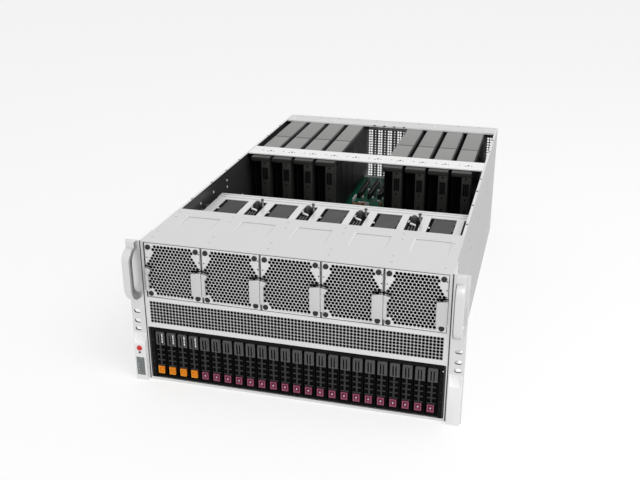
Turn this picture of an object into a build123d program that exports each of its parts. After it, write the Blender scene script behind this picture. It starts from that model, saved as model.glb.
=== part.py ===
"""Five-unit rack server with accelerator cards, hot-swap fans and drive carriers, lid taken off.

Millimetres. +Z is up, the front faces -Y, and the origin is the middle of the chassis base.
"""
import math
import os

from build123d import *

os.makedirs("parts", exist_ok=True)

# Chassis body, folded from sheet
body_width = 437.0
body_height = 222.5
body_depth = 737.0
sheet = 1.2
top_flange = 4.0
return_flange = 3.7
seat_gap = 0.3
touch_gap = 0.05

# Front zones, counted up from the base
lip_height = 4.0
lip_depth = 3.0
drive_zone_top = 88.0
grille_zone_top = 136.3

# Front cover and its sloped stacking recesses
cover_depth = 135.5
recess_width = 50.0
recess_start = 48.0
recess_end = 108.0
recess_depth = 0.7
recess_shift = 6.8

# Rack ears, handles and the moulded lower bezels
ear_width = 21.0
ear_gap = 1.8
ear_thickness = 3.0
ear_return = 42.0
slot_heights = (82.55, 95.25, 111.125)
rack_slot_from_edge = 8.74
slot_length = 10.0
slot_height = 6.5
handle_bottom = 133.0
handle_reach = 25.5
handle_bar = 7.5
handle_width = 13.0
handle_root = 11.0
handle_chamfer = 1.5
bezel_thickness = 6.0
bezel_width = 18.0
bezel_top = 76.0
scoop_bottom = 60.0
scoop_rim = 1.5

# Buttons in the left bezel
button_outboard = 0.6
id_button_z = 52.9
id_button_radius = 3.8
reset_button_z = 45.8
reset_button_radius = 1.3
reset_button_sides = 12
button_clearance = 0.3
button_depth = 5.0
button_proud = 1.0
button_stroke = 0.8

# Drive carriers and their cage
carrier_count = 24
cage_side = 6.0
carrier_gap = 1.9
cage_bar = 6.0
cage_bar_depth = 12.0
carrier_bezel_depth = 14.0
carrier_body_length = 98.0
carrier_body_inset = 0.6
rail_thickness = 1.1
rail_height = 2.4
lever_length = 22.0
lever_recess = 1.6
carrier_vent_width = 9.6
carrier_vent_height = 11.0
carrier_vent_pitch = 17.0
carrier_vent_count = 2
tab_low = 5.5
tab_height = 12.0
tab_width = 10.0
tab_proud = 0.9
backplane_thickness = 3.0
backplane_gap = 2.0
backplane_window_width = 55.0
backplane_window_height = 10.0
backplane_window_drop = 13.0

# Lower intake grille
grille_columns = 14
grille_rows = 2
grille_web = 4.0
grille_margin = 3.0

# Fan modules and rotors
fan_count = 5
module_gap = 0.6
guard_setback = 5.0
guard_thickness = 1.0
guard_inset = 4.2
guard_corner = 14.0
guard_cell_pitch = 25.0
guard_cell_web = 3.0
guard_margin = 0.5
fan_frame_wall = 3.6
fan_frame_inset = 1.0
fan_bore_sides = 16
motor_seat_sides = 8
module_length = 132.0
rotor_start = 10.0
rotor_length = 30.0
rotor_hub_radius = 17.0
blade_count = 7
blade_tip_gap = 1.4
blade_thickness = 1.8
blade_camber = 3.2
blade_pitch = 38.0
blade_chord_share = 0.9
blade_root_sink = 2.0
strut_count = 4
strut_width = 4.0
strut_depth = 5.0
rivet_radius = 4.0
rivet_sides = 6
rivet_inset = 7.0
rivet_height = 0.8
pull_tab_width = 14.0
pull_tab_height = 34.0
pull_tab_low = 11.0
pull_tab_reach = 4.0
pull_tab_sheet = 1.2

# Fan wall with the laddered sheet over the fan connectors
fan_wall_gap = 1.0
fan_wall_opening_width = 72.0
ladder_drop = 25.0
ladder_depth = 151.0
ladder_left_gap = 11.3
channel_depth = 22.0
channel_land = 3.0
channel_slope = 4.0
channel_rise = 1.0
channel_skirt = 34.0
fan_wall_frame = 8.0
wide_opening_width = 40.5
wide_opening_shift = 2.4
ladder_opening_length = 64.0
narrow_opening_width = 21.0
narrow_opening_shift = 44.6
duct_lid_thickness = 2.0
duct_lid_slit = 5.0
duct_lid_lap = 4.0
connector_length = 52.0
connector_height = 13.0
connector_side_gap = 1.5
connector_lap = 3.0
guide_pin_radius = 1.6
guide_pin_sides = 6
guide_pin_height = 14.2
guide_pin_inset = 2.2
guide_pin_from_end = 5.0

# Cross bar over the cards
bar_front_from_back = 292.5
bar_depth = 45.5
bar_flange = 0.6

# Accelerator cards
slot_pitch = 20.32
cards_per_bank = 4
bank_left_margin = 12.8
bank_right_margin = 19.8
card_width = 35.0
card_drop = 2.1
card_height = 108.4
card_length = 305.0
card_setback = 20.0
card_cap_height = 12.0
card_bracket_width = 16.3
card_bracket_sheet = 1.0
card_edge_chamfer = 1.0
card_seam_from_front = 150.0
card_seam = 1.4
card_vent_width = 11.0
card_vent_height = 20.0
card_vent_drop = 16.0
card_vent_rows = 2
card_vent_web = 2.0
card_exhaust_rows = 3
card_exhaust_width = 26.0
card_exhaust_height = 20.0
finger_thickness = 1.6
finger_offset = 5.0
finger_length = 89.0
finger_from_back = 45.0
finger_depth = 6.0

# Card board on its tray, with the card slots
slot_body_width = 7.6
slot_body_height = 11.0
slot_groove_gap = 0.4
slot_clear = 4.0
slot_end_wall = 2.5
board_thickness = 2.4
board_margin = 6.0
tray_length = 436.5

# Rear panel
rear_flange_depth = 45.0
window_side_lap = 1.5
window_low_lap = 2.0
window_high_lap = 3.0
cover_hole_width = 8.0
cover_hole_shift = 2.0
cover_hole_height = 11.0
cover_hole_rows = 5
cover_field_low = 3.0
cover_field_height = 100.0
edge_cover_from_wall = 13.6
port_low = 14.0
vent_field_rows = 2
vent_field_columns = 6
vent_field_slot = (34.0, 10.0)

# Power supplies
psu_width = 73.5
psu_length = 203.0
psu_gap = 0.4
psu_headroom = 10.0
psu_face_proud = 2.0
psu_fan_radius = 14.0
psu_fan_recess = 2.0
psu_inlet_width = 27.0
psu_inlet_height = 20.0
psu_inlet_depth = 12.0
psu_pin_pitch = 7.0
psu_pin_drop = 3.0
psu_pin_width = 2.0
psu_pin_height = 6.0
psu_pin_length = 9.6
psu_handle_width = 34.0
psu_handle_reach = 20.0
psu_handle_bar = 4.0
psu_handle_height = 10.0

# Ports on the rear panel: place across, width and height
ports = (
    (-104.0, 30.0, 13.0),
    (-66.0, 16.0, 13.0),
    (-44.0, 16.0, 13.0),
    (-20.0, 14.0, 14.0),
    (10.0, 31.0, 12.0),
    (64.0, 52.0, 13.0),
)

# Rail fixing holes in the side walls
rail_hole_radius = 2.1
rail_hole_span = 464.0
rail_hole_z = 60.0
side_slot_length = 16.0
side_slot_height = 5.0
side_slot_z = 150.0
side_slot_pitch = 140.0
side_slot_count = 3

# Places that follow from the sizes above
front_y = -body_depth / 2
back_y = body_depth / 2
inner_half = body_width / 2 - sheet
opening_half = body_width / 2 - return_flange
top_inside = body_height - sheet

fan_pitch = 2 * opening_half / fan_count
fan_centres = [(index - (fan_count - 1) / 2) * fan_pitch for index in range(fan_count)]
module_low = grille_zone_top + seat_gap
module_high = top_inside - seat_gap
module_height = module_high - module_low
module_width = fan_pitch - module_gap
fan_z = (module_low + module_high) / 2
fan_bore_radius = min(module_width, module_height) / 2 - fan_frame_wall
rotor_radius = fan_bore_radius - blade_tip_gap

ladder_z = body_height - ladder_drop
fan_wall_y = front_y + module_length + fan_wall_gap
ladder_back_y = fan_wall_y + ladder_depth

card_top = body_height - card_drop
card_bottom = card_top - card_height
card_back_y = back_y - sheet - card_bracket_sheet
card_front_y = card_back_y - card_length
slot_top = card_bottom - slot_clear
board_top = slot_top - slot_body_height
tray_top = board_top - board_thickness
tray_low = tray_top - sheet
left_bank = [
    -inner_half + bank_left_margin + index * 2 * slot_pitch for index in range(cards_per_bank)
]
right_bank = [
    inner_half - bank_right_margin - card_width - index * 2 * slot_pitch
    for index in reversed(range(cards_per_bank))
]
card_lefts = left_bank + right_bank
gap_low_x = left_bank[-1] + 2 * slot_pitch
gap_high_x = right_bank[0]
free_slot_count = int((gap_high_x - gap_low_x) / slot_pitch)
free_slot_lefts = [gap_low_x + index * slot_pitch for index in range(free_slot_count)]

psu_height = (tray_low - 2 * sheet - 4 * seat_gap - psu_headroom) / 2
psu_x = inner_half - psu_gap - psu_width / 2
psu_partition_x = inner_half - 2 * psu_gap - psu_width - sheet / 2
psu_lows = (sheet + seat_gap, 2 * sheet + 3 * seat_gap + psu_height)
psu_shelf_low = sheet + 2 * seat_gap + psu_height

carrier_pitch = 2 * (opening_half - cage_side) / carrier_count
carrier_xs = [(index - (carrier_count - 1) / 2) * carrier_pitch for index in range(carrier_count)]
carrier_width = carrier_pitch - carrier_gap
cage_floor_top = lip_height + 1.7
carrier_low = cage_floor_top + seat_gap
carrier_high = drive_zone_top - cage_bar - seat_gap
carrier_height = carrier_high - carrier_low
carrier_mid_z = (carrier_low + carrier_high) / 2
cage_depth = carrier_bezel_depth + carrier_body_length + backplane_gap

ear_inner = body_width / 2 + ear_gap
ear_mid = ear_inner + ear_width / 2
button_x = -(ear_mid + button_outboard)


def front_plane(y):
    """Drawing plane that faces the front at depth y: X to the right, Z up."""
    return Plane.XZ.offset(-y)


def save(piece, name):
    """Labels a finished piece and writes it."""
    piece.part.label = name
    export_step(piece.part, f"parts/{name}.step")


def save_copy(piece, name, x=0.0, z=0.0):
    """Labels and writes a copy of a repeated piece, moved across by x and up by z."""
    copy = Pos(x, 0, z) * piece.part
    copy.label = name
    export_step(copy, f"parts/{name}.step")


# Base pan with its front lip and the two power supply bays
with BuildPart() as base_pan:
    with BuildSketch():
        Rectangle(body_width, body_depth)
    extrude(amount=sheet)
    with BuildSketch(front_plane(front_y)):
        with Locations((0, lip_height / 2)):
            Rectangle(2 * opening_half, lip_height)
    extrude(amount=-lip_depth)
    # A partition and a shelf for each pair of power supplies
    for side in (-1, 1):
        with BuildSketch(Plane.XY.offset(sheet)):
            with Locations((side * psu_partition_x, back_y - sheet - psu_length / 2)):
                Rectangle(sheet, psu_length)
        extrude(amount=tray_low - sheet)
        with BuildSketch(Plane.XY.offset(psu_shelf_low)):
            with Locations((side * (psu_partition_x + inner_half) / 2, back_y - sheet - psu_length / 2)):
                Rectangle(inner_half - psu_partition_x, psu_length)
        extrude(amount=sheet)
save(base_pan, "base_pan")


def side_wall(side):
    """One side wall, side -1 on the left and 1 on the right."""
    with BuildPart() as wall:
        with BuildSketch(front_plane(front_y)):
            with Locations((side * (body_width - sheet) / 2, (sheet + top_inside) / 2)):
                Rectangle(sheet, top_inside - sheet)
        extrude(amount=-body_depth)
        # Turned-in flange along the open top, behind the front cover
        with BuildSketch(front_plane(front_y + cover_depth)):
            with Locations((side * (body_width - top_flange) / 2, top_inside + sheet / 2)):
                Rectangle(top_flange, sheet)
        extrude(amount=cover_depth - body_depth)
        # Turned-in flange down the front edge
        with BuildSketch(front_plane(front_y)):
            with Locations((side * (body_width - return_flange) / 2, (sheet + top_inside) / 2)):
                Rectangle(return_flange, top_inside - sheet)
        extrude(amount=-sheet)
        with BuildSketch(Plane.YZ.offset(side * inner_half)):
            with Locations((0, rail_hole_z)):
                with GridLocations(rail_hole_span, 0, 2, 1):
                    Circle(rail_hole_radius)
            with Locations((front_y + 0.55 * body_depth, side_slot_z)):
                with GridLocations(side_slot_pitch, 0, side_slot_count, 1):
                    Rectangle(side_slot_length, side_slot_height)
        extrude(amount=side * sheet, mode=Mode.SUBTRACT)
    return wall


save(side_wall(-1), "side_wall_left")
save(side_wall(1), "side_wall_right")


# Front cover, with a sloped recess over each fan
with BuildPart() as front_cover:
    with BuildSketch(Plane.XY.offset(top_inside)):
        with Locations((0, front_y + cover_depth / 2)):
            Rectangle(body_width, cover_depth)
    extrude(amount=sheet)
    for fan_x in fan_centres:
        with BuildSketch(Plane.YZ.offset(fan_x + recess_shift)):
            with BuildLine():
                Polyline(
                    (front_y + recess_start, body_height),
                    (front_y + recess_end, body_height),
                    (front_y + recess_end, body_height - recess_depth),
                    close=True,
                )
            make_face()
        extrude(amount=recess_width / 2, both=True, mode=Mode.SUBTRACT)
save(front_cover, "front_cover")


# Intake grille with the shelf that the fan modules stand on
with BuildPart() as front_grille:
    grille_height = grille_zone_top - drive_zone_top - touch_gap
    grille_mid_z = grille_zone_top - grille_height / 2
    with BuildSketch(front_plane(front_y)):
        with Locations((0, grille_mid_z)):
            Rectangle(2 * opening_half, grille_height)
            column_pitch = 2 * (opening_half - grille_margin) / grille_columns
            row_pitch = (grille_height - 2 * grille_margin) / grille_rows
            with GridLocations(column_pitch, row_pitch, grille_columns, grille_rows):
                Rectangle(column_pitch - grille_web, row_pitch - grille_web, mode=Mode.SUBTRACT)
    extrude(amount=-sheet)
    with BuildSketch(Plane.XY.offset(grille_zone_top - sheet)):
        with Locations((0, front_y + sheet + module_length / 2)):
            Rectangle(2 * inner_half - 2 * touch_gap, module_length)
    extrude(amount=sheet)
save(front_grille, "front_grille")


# Drive cage: front frame, floor with runners, roof, sides and the board behind the drives
with BuildPart() as drive_cage:
    cage_low = sheet
    cage_front = front_y + lip_depth
    frame_mid_z = (cage_floor_top + drive_zone_top) / 2
    with BuildSketch(front_plane(cage_front)):
        with Locations((0, (cage_low + drive_zone_top) / 2)):
            Rectangle(2 * opening_half, drive_zone_top - cage_low)
        with Locations((0, (cage_floor_top + drive_zone_top - cage_bar) / 2)):
            Rectangle(
                2 * (opening_half - cage_side),
                drive_zone_top - cage_bar - cage_floor_top,
                mode=Mode.SUBTRACT,
            )
    extrude(amount=-cage_bar_depth)
    with BuildSketch(front_plane(front_y)):
        with Locations((0, drive_zone_top - cage_bar / 2)):
            Rectangle(2 * opening_half, cage_bar)
        with Locations(
            (opening_half - cage_side / 2, (lip_height + drive_zone_top) / 2),
            (cage_side / 2 - opening_half, (lip_height + drive_zone_top) / 2),
        ):
            Rectangle(cage_side, drive_zone_top - lip_height)
    extrude(amount=-lip_depth)
    with BuildSketch(front_plane(cage_front)):
        with Locations((0, (cage_low + cage_floor_top) / 2)):
            Rectangle(2 * opening_half, cage_floor_top - cage_low)
        with Locations((0, drive_zone_top - sheet / 2)):
            Rectangle(2 * opening_half, sheet)
        with Locations(
            (opening_half - sheet / 2, frame_mid_z),
            (sheet / 2 - opening_half, frame_mid_z),
        ):
            Rectangle(sheet, drive_zone_top - cage_floor_top)
        # Runners between the carriers
        with Locations((0, cage_floor_top + rail_height / 2)):
            with GridLocations(carrier_pitch, 0, carrier_count - 1, 1):
                Rectangle(rail_thickness, rail_height)
    extrude(amount=-(cage_depth - lip_depth))
    with BuildSketch(front_plane(front_y + cage_depth)):
        with Locations((0, (cage_low + drive_zone_top) / 2)):
            Rectangle(2 * opening_half, drive_zone_top - cage_low)
        with Locations((0, drive_zone_top - backplane_window_drop)):
            with GridLocations(4 * carrier_pitch, 0, carrier_count // 4, 1):
                Rectangle(backplane_window_width, backplane_window_height, mode=Mode.SUBTRACT)
    extrude(amount=-backplane_thickness)
save(drive_cage, "drive_cage")


def drive_carrier(x):
    """One hot-swap drive carrier: slotted bezel, latch lever and colour tab in front of the drive."""
    with BuildPart() as carrier:
        with BuildSketch(front_plane(front_y + carrier_bezel_depth)):
            with Locations((x, carrier_mid_z)):
                Rectangle(carrier_width, carrier_height)
        extrude(amount=carrier_bezel_depth)
        with BuildSketch(front_plane(front_y + carrier_bezel_depth)):
            with Locations((x, carrier_mid_z)):
                Rectangle(
                    carrier_width - 2 * carrier_body_inset,
                    carrier_height - 2 * rail_height,
                )
            with Locations((x, carrier_low + rail_height)):
                Rectangle(carrier_width - 2 * carrier_body_inset, 2 * rail_height)
        extrude(amount=-carrier_body_length)
        # Lower bezel steps back behind the latch lever
        vent_zone_low = carrier_low + tab_low + tab_height
        vent_zone_high = carrier_high - lever_length
        with BuildSketch(Plane.YZ.offset(x)):
            with BuildLine():
                Polyline(
                    (front_y - lever_recess, carrier_low - lever_recess),
                    (front_y - lever_recess, vent_zone_high),
                    (front_y + lever_recess, vent_zone_high - lever_recess),
                    (front_y + lever_recess, carrier_low - lever_recess),
                    close=True,
                )
            make_face()
        extrude(amount=carrier_width, both=True, mode=Mode.SUBTRACT)
        with BuildSketch(front_plane(front_y + lever_recess)):
            with Locations((x, (vent_zone_low + vent_zone_high) / 2)):
                with GridLocations(0, carrier_vent_pitch, 1, carrier_vent_count):
                    Rectangle(carrier_vent_width, carrier_vent_height)
        extrude(amount=-2 * lever_recess, mode=Mode.SUBTRACT)
        with BuildSketch(front_plane(front_y + lever_recess)):
            with Locations((x, carrier_low + tab_low + tab_height / 2)):
                Rectangle(tab_width, tab_height)
        extrude(amount=tab_proud)
    return carrier


carrier = drive_carrier(0)
for number, carrier_x in enumerate(carrier_xs, start=1):
    save_copy(carrier, f"drive_carrier_{number:02d}", carrier_x)


def guard_cells():
    """Centres of the guard's six-sided openings, in staggered rows inside its clipped window."""
    row_pitch = guard_cell_pitch * math.sqrt(3) / 2
    half_width = module_width / 2 - guard_inset - guard_margin - guard_cell_pitch / 2
    half_height = module_height / 2 - guard_inset - guard_margin - guard_cell_pitch / 2
    rows = int(half_height / row_pitch)
    centres = []
    for row in range(-rows, rows + 1):
        shift = guard_cell_pitch / 2 * (row % 2)
        columns = int((half_width - shift) / guard_cell_pitch)
        for column in range(-columns - row % 2, columns + 1):
            cell_x = column * guard_cell_pitch + shift
            cell_z = row * row_pitch
            if abs(cell_x) + abs(cell_z) < half_width + half_height - guard_corner / 2:
                centres.append((cell_x, cell_z))
    return centres


def fan_module(x):
    """One fan module: faceplate with pull tabs, set-back guard, fan frame with struts."""
    face_y = front_y
    guard_y = face_y + guard_setback
    strut_y = face_y + rotor_start + rotor_length + seat_gap
    with BuildPart() as module:
        with BuildSketch(front_plane(face_y)):
            with Locations((x, fan_z)):
                Rectangle(module_width, module_height)
        extrude(amount=-(guard_setback + guard_thickness))
        with BuildSketch(front_plane(face_y)):
            with Locations((x, fan_z)):
                Rectangle(module_width - 2 * guard_inset, module_height - 2 * guard_inset)
                with Locations(
                    (module_width / 2 - guard_inset, module_height / 2 - guard_inset),
                    (guard_inset - module_width / 2, module_height / 2 - guard_inset),
                    (module_width / 2 - guard_inset, guard_inset - module_height / 2),
                    (guard_inset - module_width / 2, guard_inset - module_height / 2),
                ):
                    Rectangle(
                        guard_corner * math.sqrt(2),
                        guard_corner * math.sqrt(2),
                        rotation=45,
                        mode=Mode.SUBTRACT,
                    )
        extrude(amount=-guard_setback, mode=Mode.SUBTRACT)
        with BuildSketch(front_plane(guard_y)):
            with Locations((x, fan_z)):
                with Locations(*guard_cells()):
                    RegularPolygon((guard_cell_pitch - guard_cell_web) / 2, 6, major_radius=False, rotation=30)
        extrude(amount=-guard_thickness, mode=Mode.SUBTRACT)
        # Fan frame around the bore, down to the module's tail
        with BuildSketch(front_plane(guard_y + guard_thickness)):
            with Locations((x, fan_z)):
                Rectangle(module_width - 2 * fan_frame_inset, module_height - 2 * fan_frame_inset)
                RegularPolygon(fan_bore_radius, fan_bore_sides, major_radius=False, mode=Mode.SUBTRACT)
        extrude(amount=-(module_length - guard_setback - guard_thickness))
        # Motor seat on its struts, just behind the rotor
        with BuildSketch(front_plane(strut_y)):
            with Locations((x, fan_z)):
                RegularPolygon(rotor_hub_radius, motor_seat_sides)
                with PolarLocations(0, strut_count, start_angle=45):
                    Rectangle(fan_bore_radius + fan_frame_inset, strut_width, align=(Align.MIN, Align.CENTER))
        extrude(amount=-strut_depth)
        # Corner rivets
        with BuildSketch(front_plane(face_y)):
            with Locations((x, fan_z)):
                with GridLocations(module_width - 2 * rivet_inset, module_height - 2 * rivet_inset, 2, 2):
                    RegularPolygon(rivet_radius, rivet_sides)
        extrude(amount=rivet_height)
        # Pull tab, folded forward from the right edge and back over the guard
        tab_right = x + module_width / 2
        with BuildSketch(Plane.XY.offset(module_low + pull_tab_low)):
            with BuildLine():
                Polyline(
                    (tab_right, face_y),
                    (tab_right, face_y - pull_tab_reach),
                    (tab_right - pull_tab_width, face_y - pull_tab_reach),
                    (tab_right - pull_tab_width, face_y - pull_tab_reach + pull_tab_sheet),
                    (tab_right - pull_tab_sheet, face_y - pull_tab_reach + pull_tab_sheet),
                    (tab_right - pull_tab_sheet, face_y),
                    close=True,
                )
            make_face()
        extrude(amount=pull_tab_height)
    return module


def fan_rotor(x):
    """One rotor: round hub with cambered blades, turning about Y."""
    start_y = front_y + rotor_start
    mid_y = start_y + rotor_length / 2
    chord = rotor_length * blade_chord_share
    half_rise = chord / 2 * math.sin(math.radians(blade_pitch))
    half_run = chord / 2 * math.cos(math.radians(blade_pitch))
    # Square-cut tips whose corners stay inside the rotor's circle
    tip_reach = math.sqrt(rotor_radius**2 - half_run**2)
    with BuildPart() as rotor:
        with BuildSketch(front_plane(start_y)):
            with Locations((x, fan_z)):
                RegularPolygon(rotor_hub_radius, 2 * blade_count)
        extrude(amount=-rotor_length)
        for index in range(blade_count):
            turn = math.radians(360 / blade_count * index)
            outward = Vector(math.cos(turn), 0, math.sin(turn))
            start = Vector(x, mid_y, fan_z) + outward * (rotor_hub_radius - blade_root_sink)
            with BuildSketch(Plane(origin=start, x_dir=Vector(0, 1, 0), z_dir=outward)):
                with BuildLine():
                    Polyline(
                        (-half_rise, -half_run),
                        (-blade_camber, blade_camber),
                        (half_rise, half_run),
                        (blade_thickness - blade_camber, blade_camber - blade_thickness),
                        close=True,
                    )
                make_face()
            extrude(amount=tip_reach - rotor_hub_radius + blade_root_sink)
    return rotor


module = fan_module(0)
rotor = fan_rotor(0)
for number, fan_x in enumerate(fan_centres, start=1):
    save_copy(module, f"fan_module_{number}", fan_x)
    save_copy(rotor, f"fan_rotor_{number}", fan_x)


# Fan wall, laddered sheet and rear channel, with the duct lids, connectors and guide pins
with BuildPart() as fan_bay:
    wide_xs = [fan_x + wide_opening_shift for fan_x in fan_centres]
    narrow_xs = [fan_x + narrow_opening_shift for fan_x in fan_centres]
    opening_mid_y = ladder_back_y - channel_depth - channel_land - ladder_opening_length / 2
    ladder_left = ladder_left_gap - inner_half
    ladder_right = inner_half - touch_gap
    with BuildSketch(Plane.XY.offset(ladder_z - sheet)):
        with Locations(((ladder_left + ladder_right) / 2, fan_wall_y + ladder_depth / 2)):
            Rectangle(ladder_right - ladder_left, ladder_depth)
        with Locations(*[(wide_x, opening_mid_y) for wide_x in wide_xs]):
            Rectangle(wide_opening_width, ladder_opening_length, mode=Mode.SUBTRACT)
        with Locations(*[(narrow_x, opening_mid_y) for narrow_x in narrow_xs]):
            Rectangle(narrow_opening_width, ladder_opening_length, mode=Mode.SUBTRACT)
    extrude(amount=sheet)
    with BuildSketch(front_plane(fan_wall_y)):
        with Locations((0, (grille_zone_top + ladder_z) / 2)):
            Rectangle(2 * (inner_half - touch_gap), ladder_z - grille_zone_top)
        with Locations(*[(fan_x, (grille_zone_top + ladder_z) / 2) for fan_x in fan_centres]):
            air_height = ladder_z - grille_zone_top - fan_wall_frame
            Rectangle(fan_wall_opening_width, air_height, mode=Mode.SUBTRACT)
    extrude(amount=-sheet)
    # Rear channel: a shallow raised step and a skirt down into the card bay
    with BuildSketch(Plane.YZ.offset(ladder_left)):
        with BuildLine():
            Polyline(
                (ladder_back_y - channel_depth, ladder_z),
                (ladder_back_y - channel_depth + channel_slope, ladder_z + channel_rise),
                (ladder_back_y, ladder_z + channel_rise),
                (ladder_back_y, ladder_z - channel_skirt),
                (ladder_back_y - sheet, ladder_z - channel_skirt),
                (ladder_back_y - sheet, ladder_z - sheet),
                (ladder_back_y - channel_depth, ladder_z - sheet),
                close=True,
            )
        make_face()
    extrude(amount=ladder_right - ladder_left)
    # Duct lids under the wide openings, lapped under the sheet front and back
    with BuildSketch(Plane.XY.offset(ladder_z - sheet - duct_lid_thickness)):
        with Locations(*[(wide_x + duct_lid_slit, opening_mid_y) for wide_x in wide_xs]):
            Rectangle(wide_opening_width, ladder_opening_length + 2 * duct_lid_lap)
    extrude(amount=duct_lid_thickness)
    # Fan connectors hung under the front edge of each narrow opening
    connector_front = opening_mid_y - ladder_opening_length / 2 - connector_lap
    connector_xs = narrow_xs[:-1]
    with BuildSketch(Plane.XY.offset(ladder_z - sheet - connector_height)):
        with Locations(*[(plug_x, connector_front + connector_length / 2) for plug_x in connector_xs]):
            Rectangle(narrow_opening_width - 2 * connector_side_gap, connector_length)
    extrude(amount=connector_height)
    pin_y = connector_front + connector_length - guide_pin_from_end
    pin_shift = narrow_opening_width / 2 - guide_pin_inset
    with BuildSketch(Plane.XY.offset(ladder_z - sheet)):
        with Locations(*[(plug_x + pin_shift, pin_y) for plug_x in connector_xs]):
            RegularPolygon(guide_pin_radius, guide_pin_sides)
    extrude(amount=guide_pin_height)
save(fan_bay, "fan_bay")


# Cross bar, a shallow channel from wall to wall above the cards
with BuildPart() as mid_bar:
    bar_half = body_width / 2 - top_flange - touch_gap
    bar_front = back_y - bar_front_from_back
    with BuildSketch(Plane.YZ.offset(-bar_half)):
        with BuildLine():
            Polyline(
                (bar_front, body_height),
                (bar_front + bar_depth, body_height),
                (bar_front + bar_depth, top_inside - bar_flange),
                (bar_front + bar_depth - sheet, top_inside - bar_flange),
                (bar_front + bar_depth - sheet, top_inside),
                (bar_front + sheet, top_inside),
                (bar_front + sheet, top_inside - bar_flange),
                (bar_front, top_inside - bar_flange),
                close=True,
            )
        make_face()
    extrude(amount=2 * bar_half)
save(mid_bar, "mid_bar")


def gpu_card(left):
    """One dual-slot accelerator card: shroud, front support bracket, rear bracket and edge fingers."""
    card_mid = left + card_width / 2
    shroud_front = card_front_y + card_setback
    with BuildPart() as card:
        with BuildSketch(front_plane(shroud_front)):
            with Locations((card_mid, (card_bottom + card_top) / 2)):
                Rectangle(card_width, card_height)
        extrude(amount=-(card_back_y - shroud_front))
        chamfer(card.edges().filter_by(Axis.Y).group_by(Axis.Z)[-1], length=card_edge_chamfer)
        # Support bracket: a cap over the whole width and an upright on the right
        with BuildSketch(front_plane(card_front_y)):
            with Locations((card_mid, card_top - card_edge_chamfer - card_cap_height / 2)):
                Rectangle(card_width, card_cap_height)
            with Locations((left + card_width - card_bracket_width / 2, (card_bottom + card_top) / 2)):
                Rectangle(card_bracket_width, card_height - 2 * card_edge_chamfer)
        extrude(amount=-card_setback)
        vent_high = card_top - card_edge_chamfer - card_vent_drop
        with BuildSketch(front_plane(card_front_y)):
            with Locations((left + card_width - card_bracket_width / 2, vent_high - card_vent_height / 2)):
                with GridLocations(0, card_vent_height / card_vent_rows, 1, card_vent_rows):
                    Rectangle(card_vent_width, card_vent_height / card_vent_rows - card_vent_web)
        extrude(amount=-card_vent_web, mode=Mode.SUBTRACT)
        # Seam across the top of the shroud
        with BuildSketch(Plane.XY.offset(card_top)):
            with Locations((card_mid, card_front_y + card_seam_from_front)):
                Rectangle(card_width, card_seam)
        extrude(amount=-card_seam, mode=Mode.SUBTRACT)
        # Rear bracket behind the panel window
        with BuildSketch(front_plane(back_y - sheet)):
            with Locations((card_mid, (card_bottom + card_top) / 2)):
                Rectangle(card_width, card_height)
                with GridLocations(0, card_height / card_exhaust_rows, 1, card_exhaust_rows):
                    Rectangle(card_exhaust_width, card_exhaust_height, mode=Mode.SUBTRACT)
        extrude(amount=card_bracket_sheet)
        # Edge fingers down into the slot
        with BuildSketch(Plane.XY.offset(slot_top - finger_depth)):
            with Locations((left + finger_offset, card_back_y - finger_from_back - finger_length / 2)):
                Rectangle(finger_thickness, finger_length)
        extrude(amount=card_bottom - slot_top + finger_depth)
    return card


card = gpu_card(0)
for number, card_left in enumerate(card_lefts, start=1):
    save_copy(card, f"gpu_card_{number}", card_left)


# Board on its tray, with a slot under each card and free slots in the middle
with BuildPart() as gpu_board:
    tray_mid_y = back_y - sheet - tray_length / 2
    finger_mid_y = card_back_y - finger_from_back - finger_length / 2
    slot_xs = [left + finger_offset for left in card_lefts + free_slot_lefts]
    with BuildSketch(Plane.XY.offset(tray_low)):
        with Locations((0, tray_mid_y)):
            Rectangle(2 * (inner_half - touch_gap), tray_length)
    extrude(amount=sheet)
    with BuildSketch(Plane.XY.offset(tray_top)):
        with Locations((0, tray_mid_y)):
            Rectangle(2 * inner_half - board_margin, tray_length - board_margin)
    extrude(amount=board_thickness)
    with BuildSketch(Plane.XY.offset(board_top)):
        with Locations(*[(slot_x, finger_mid_y) for slot_x in slot_xs]):
            Rectangle(slot_body_width, finger_length + 2 * slot_end_wall)
    extrude(amount=slot_body_height)
    with BuildSketch(Plane.XY.offset(slot_top)):
        with Locations(*[(slot_x, finger_mid_y) for slot_x in slot_xs]):
            Rectangle(finger_thickness + 2 * slot_groove_gap, finger_length + 2 * slot_groove_gap)
    extrude(amount=-(finger_depth + slot_groove_gap), mode=Mode.SUBTRACT)
save(gpu_board, "gpu_board")


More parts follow.
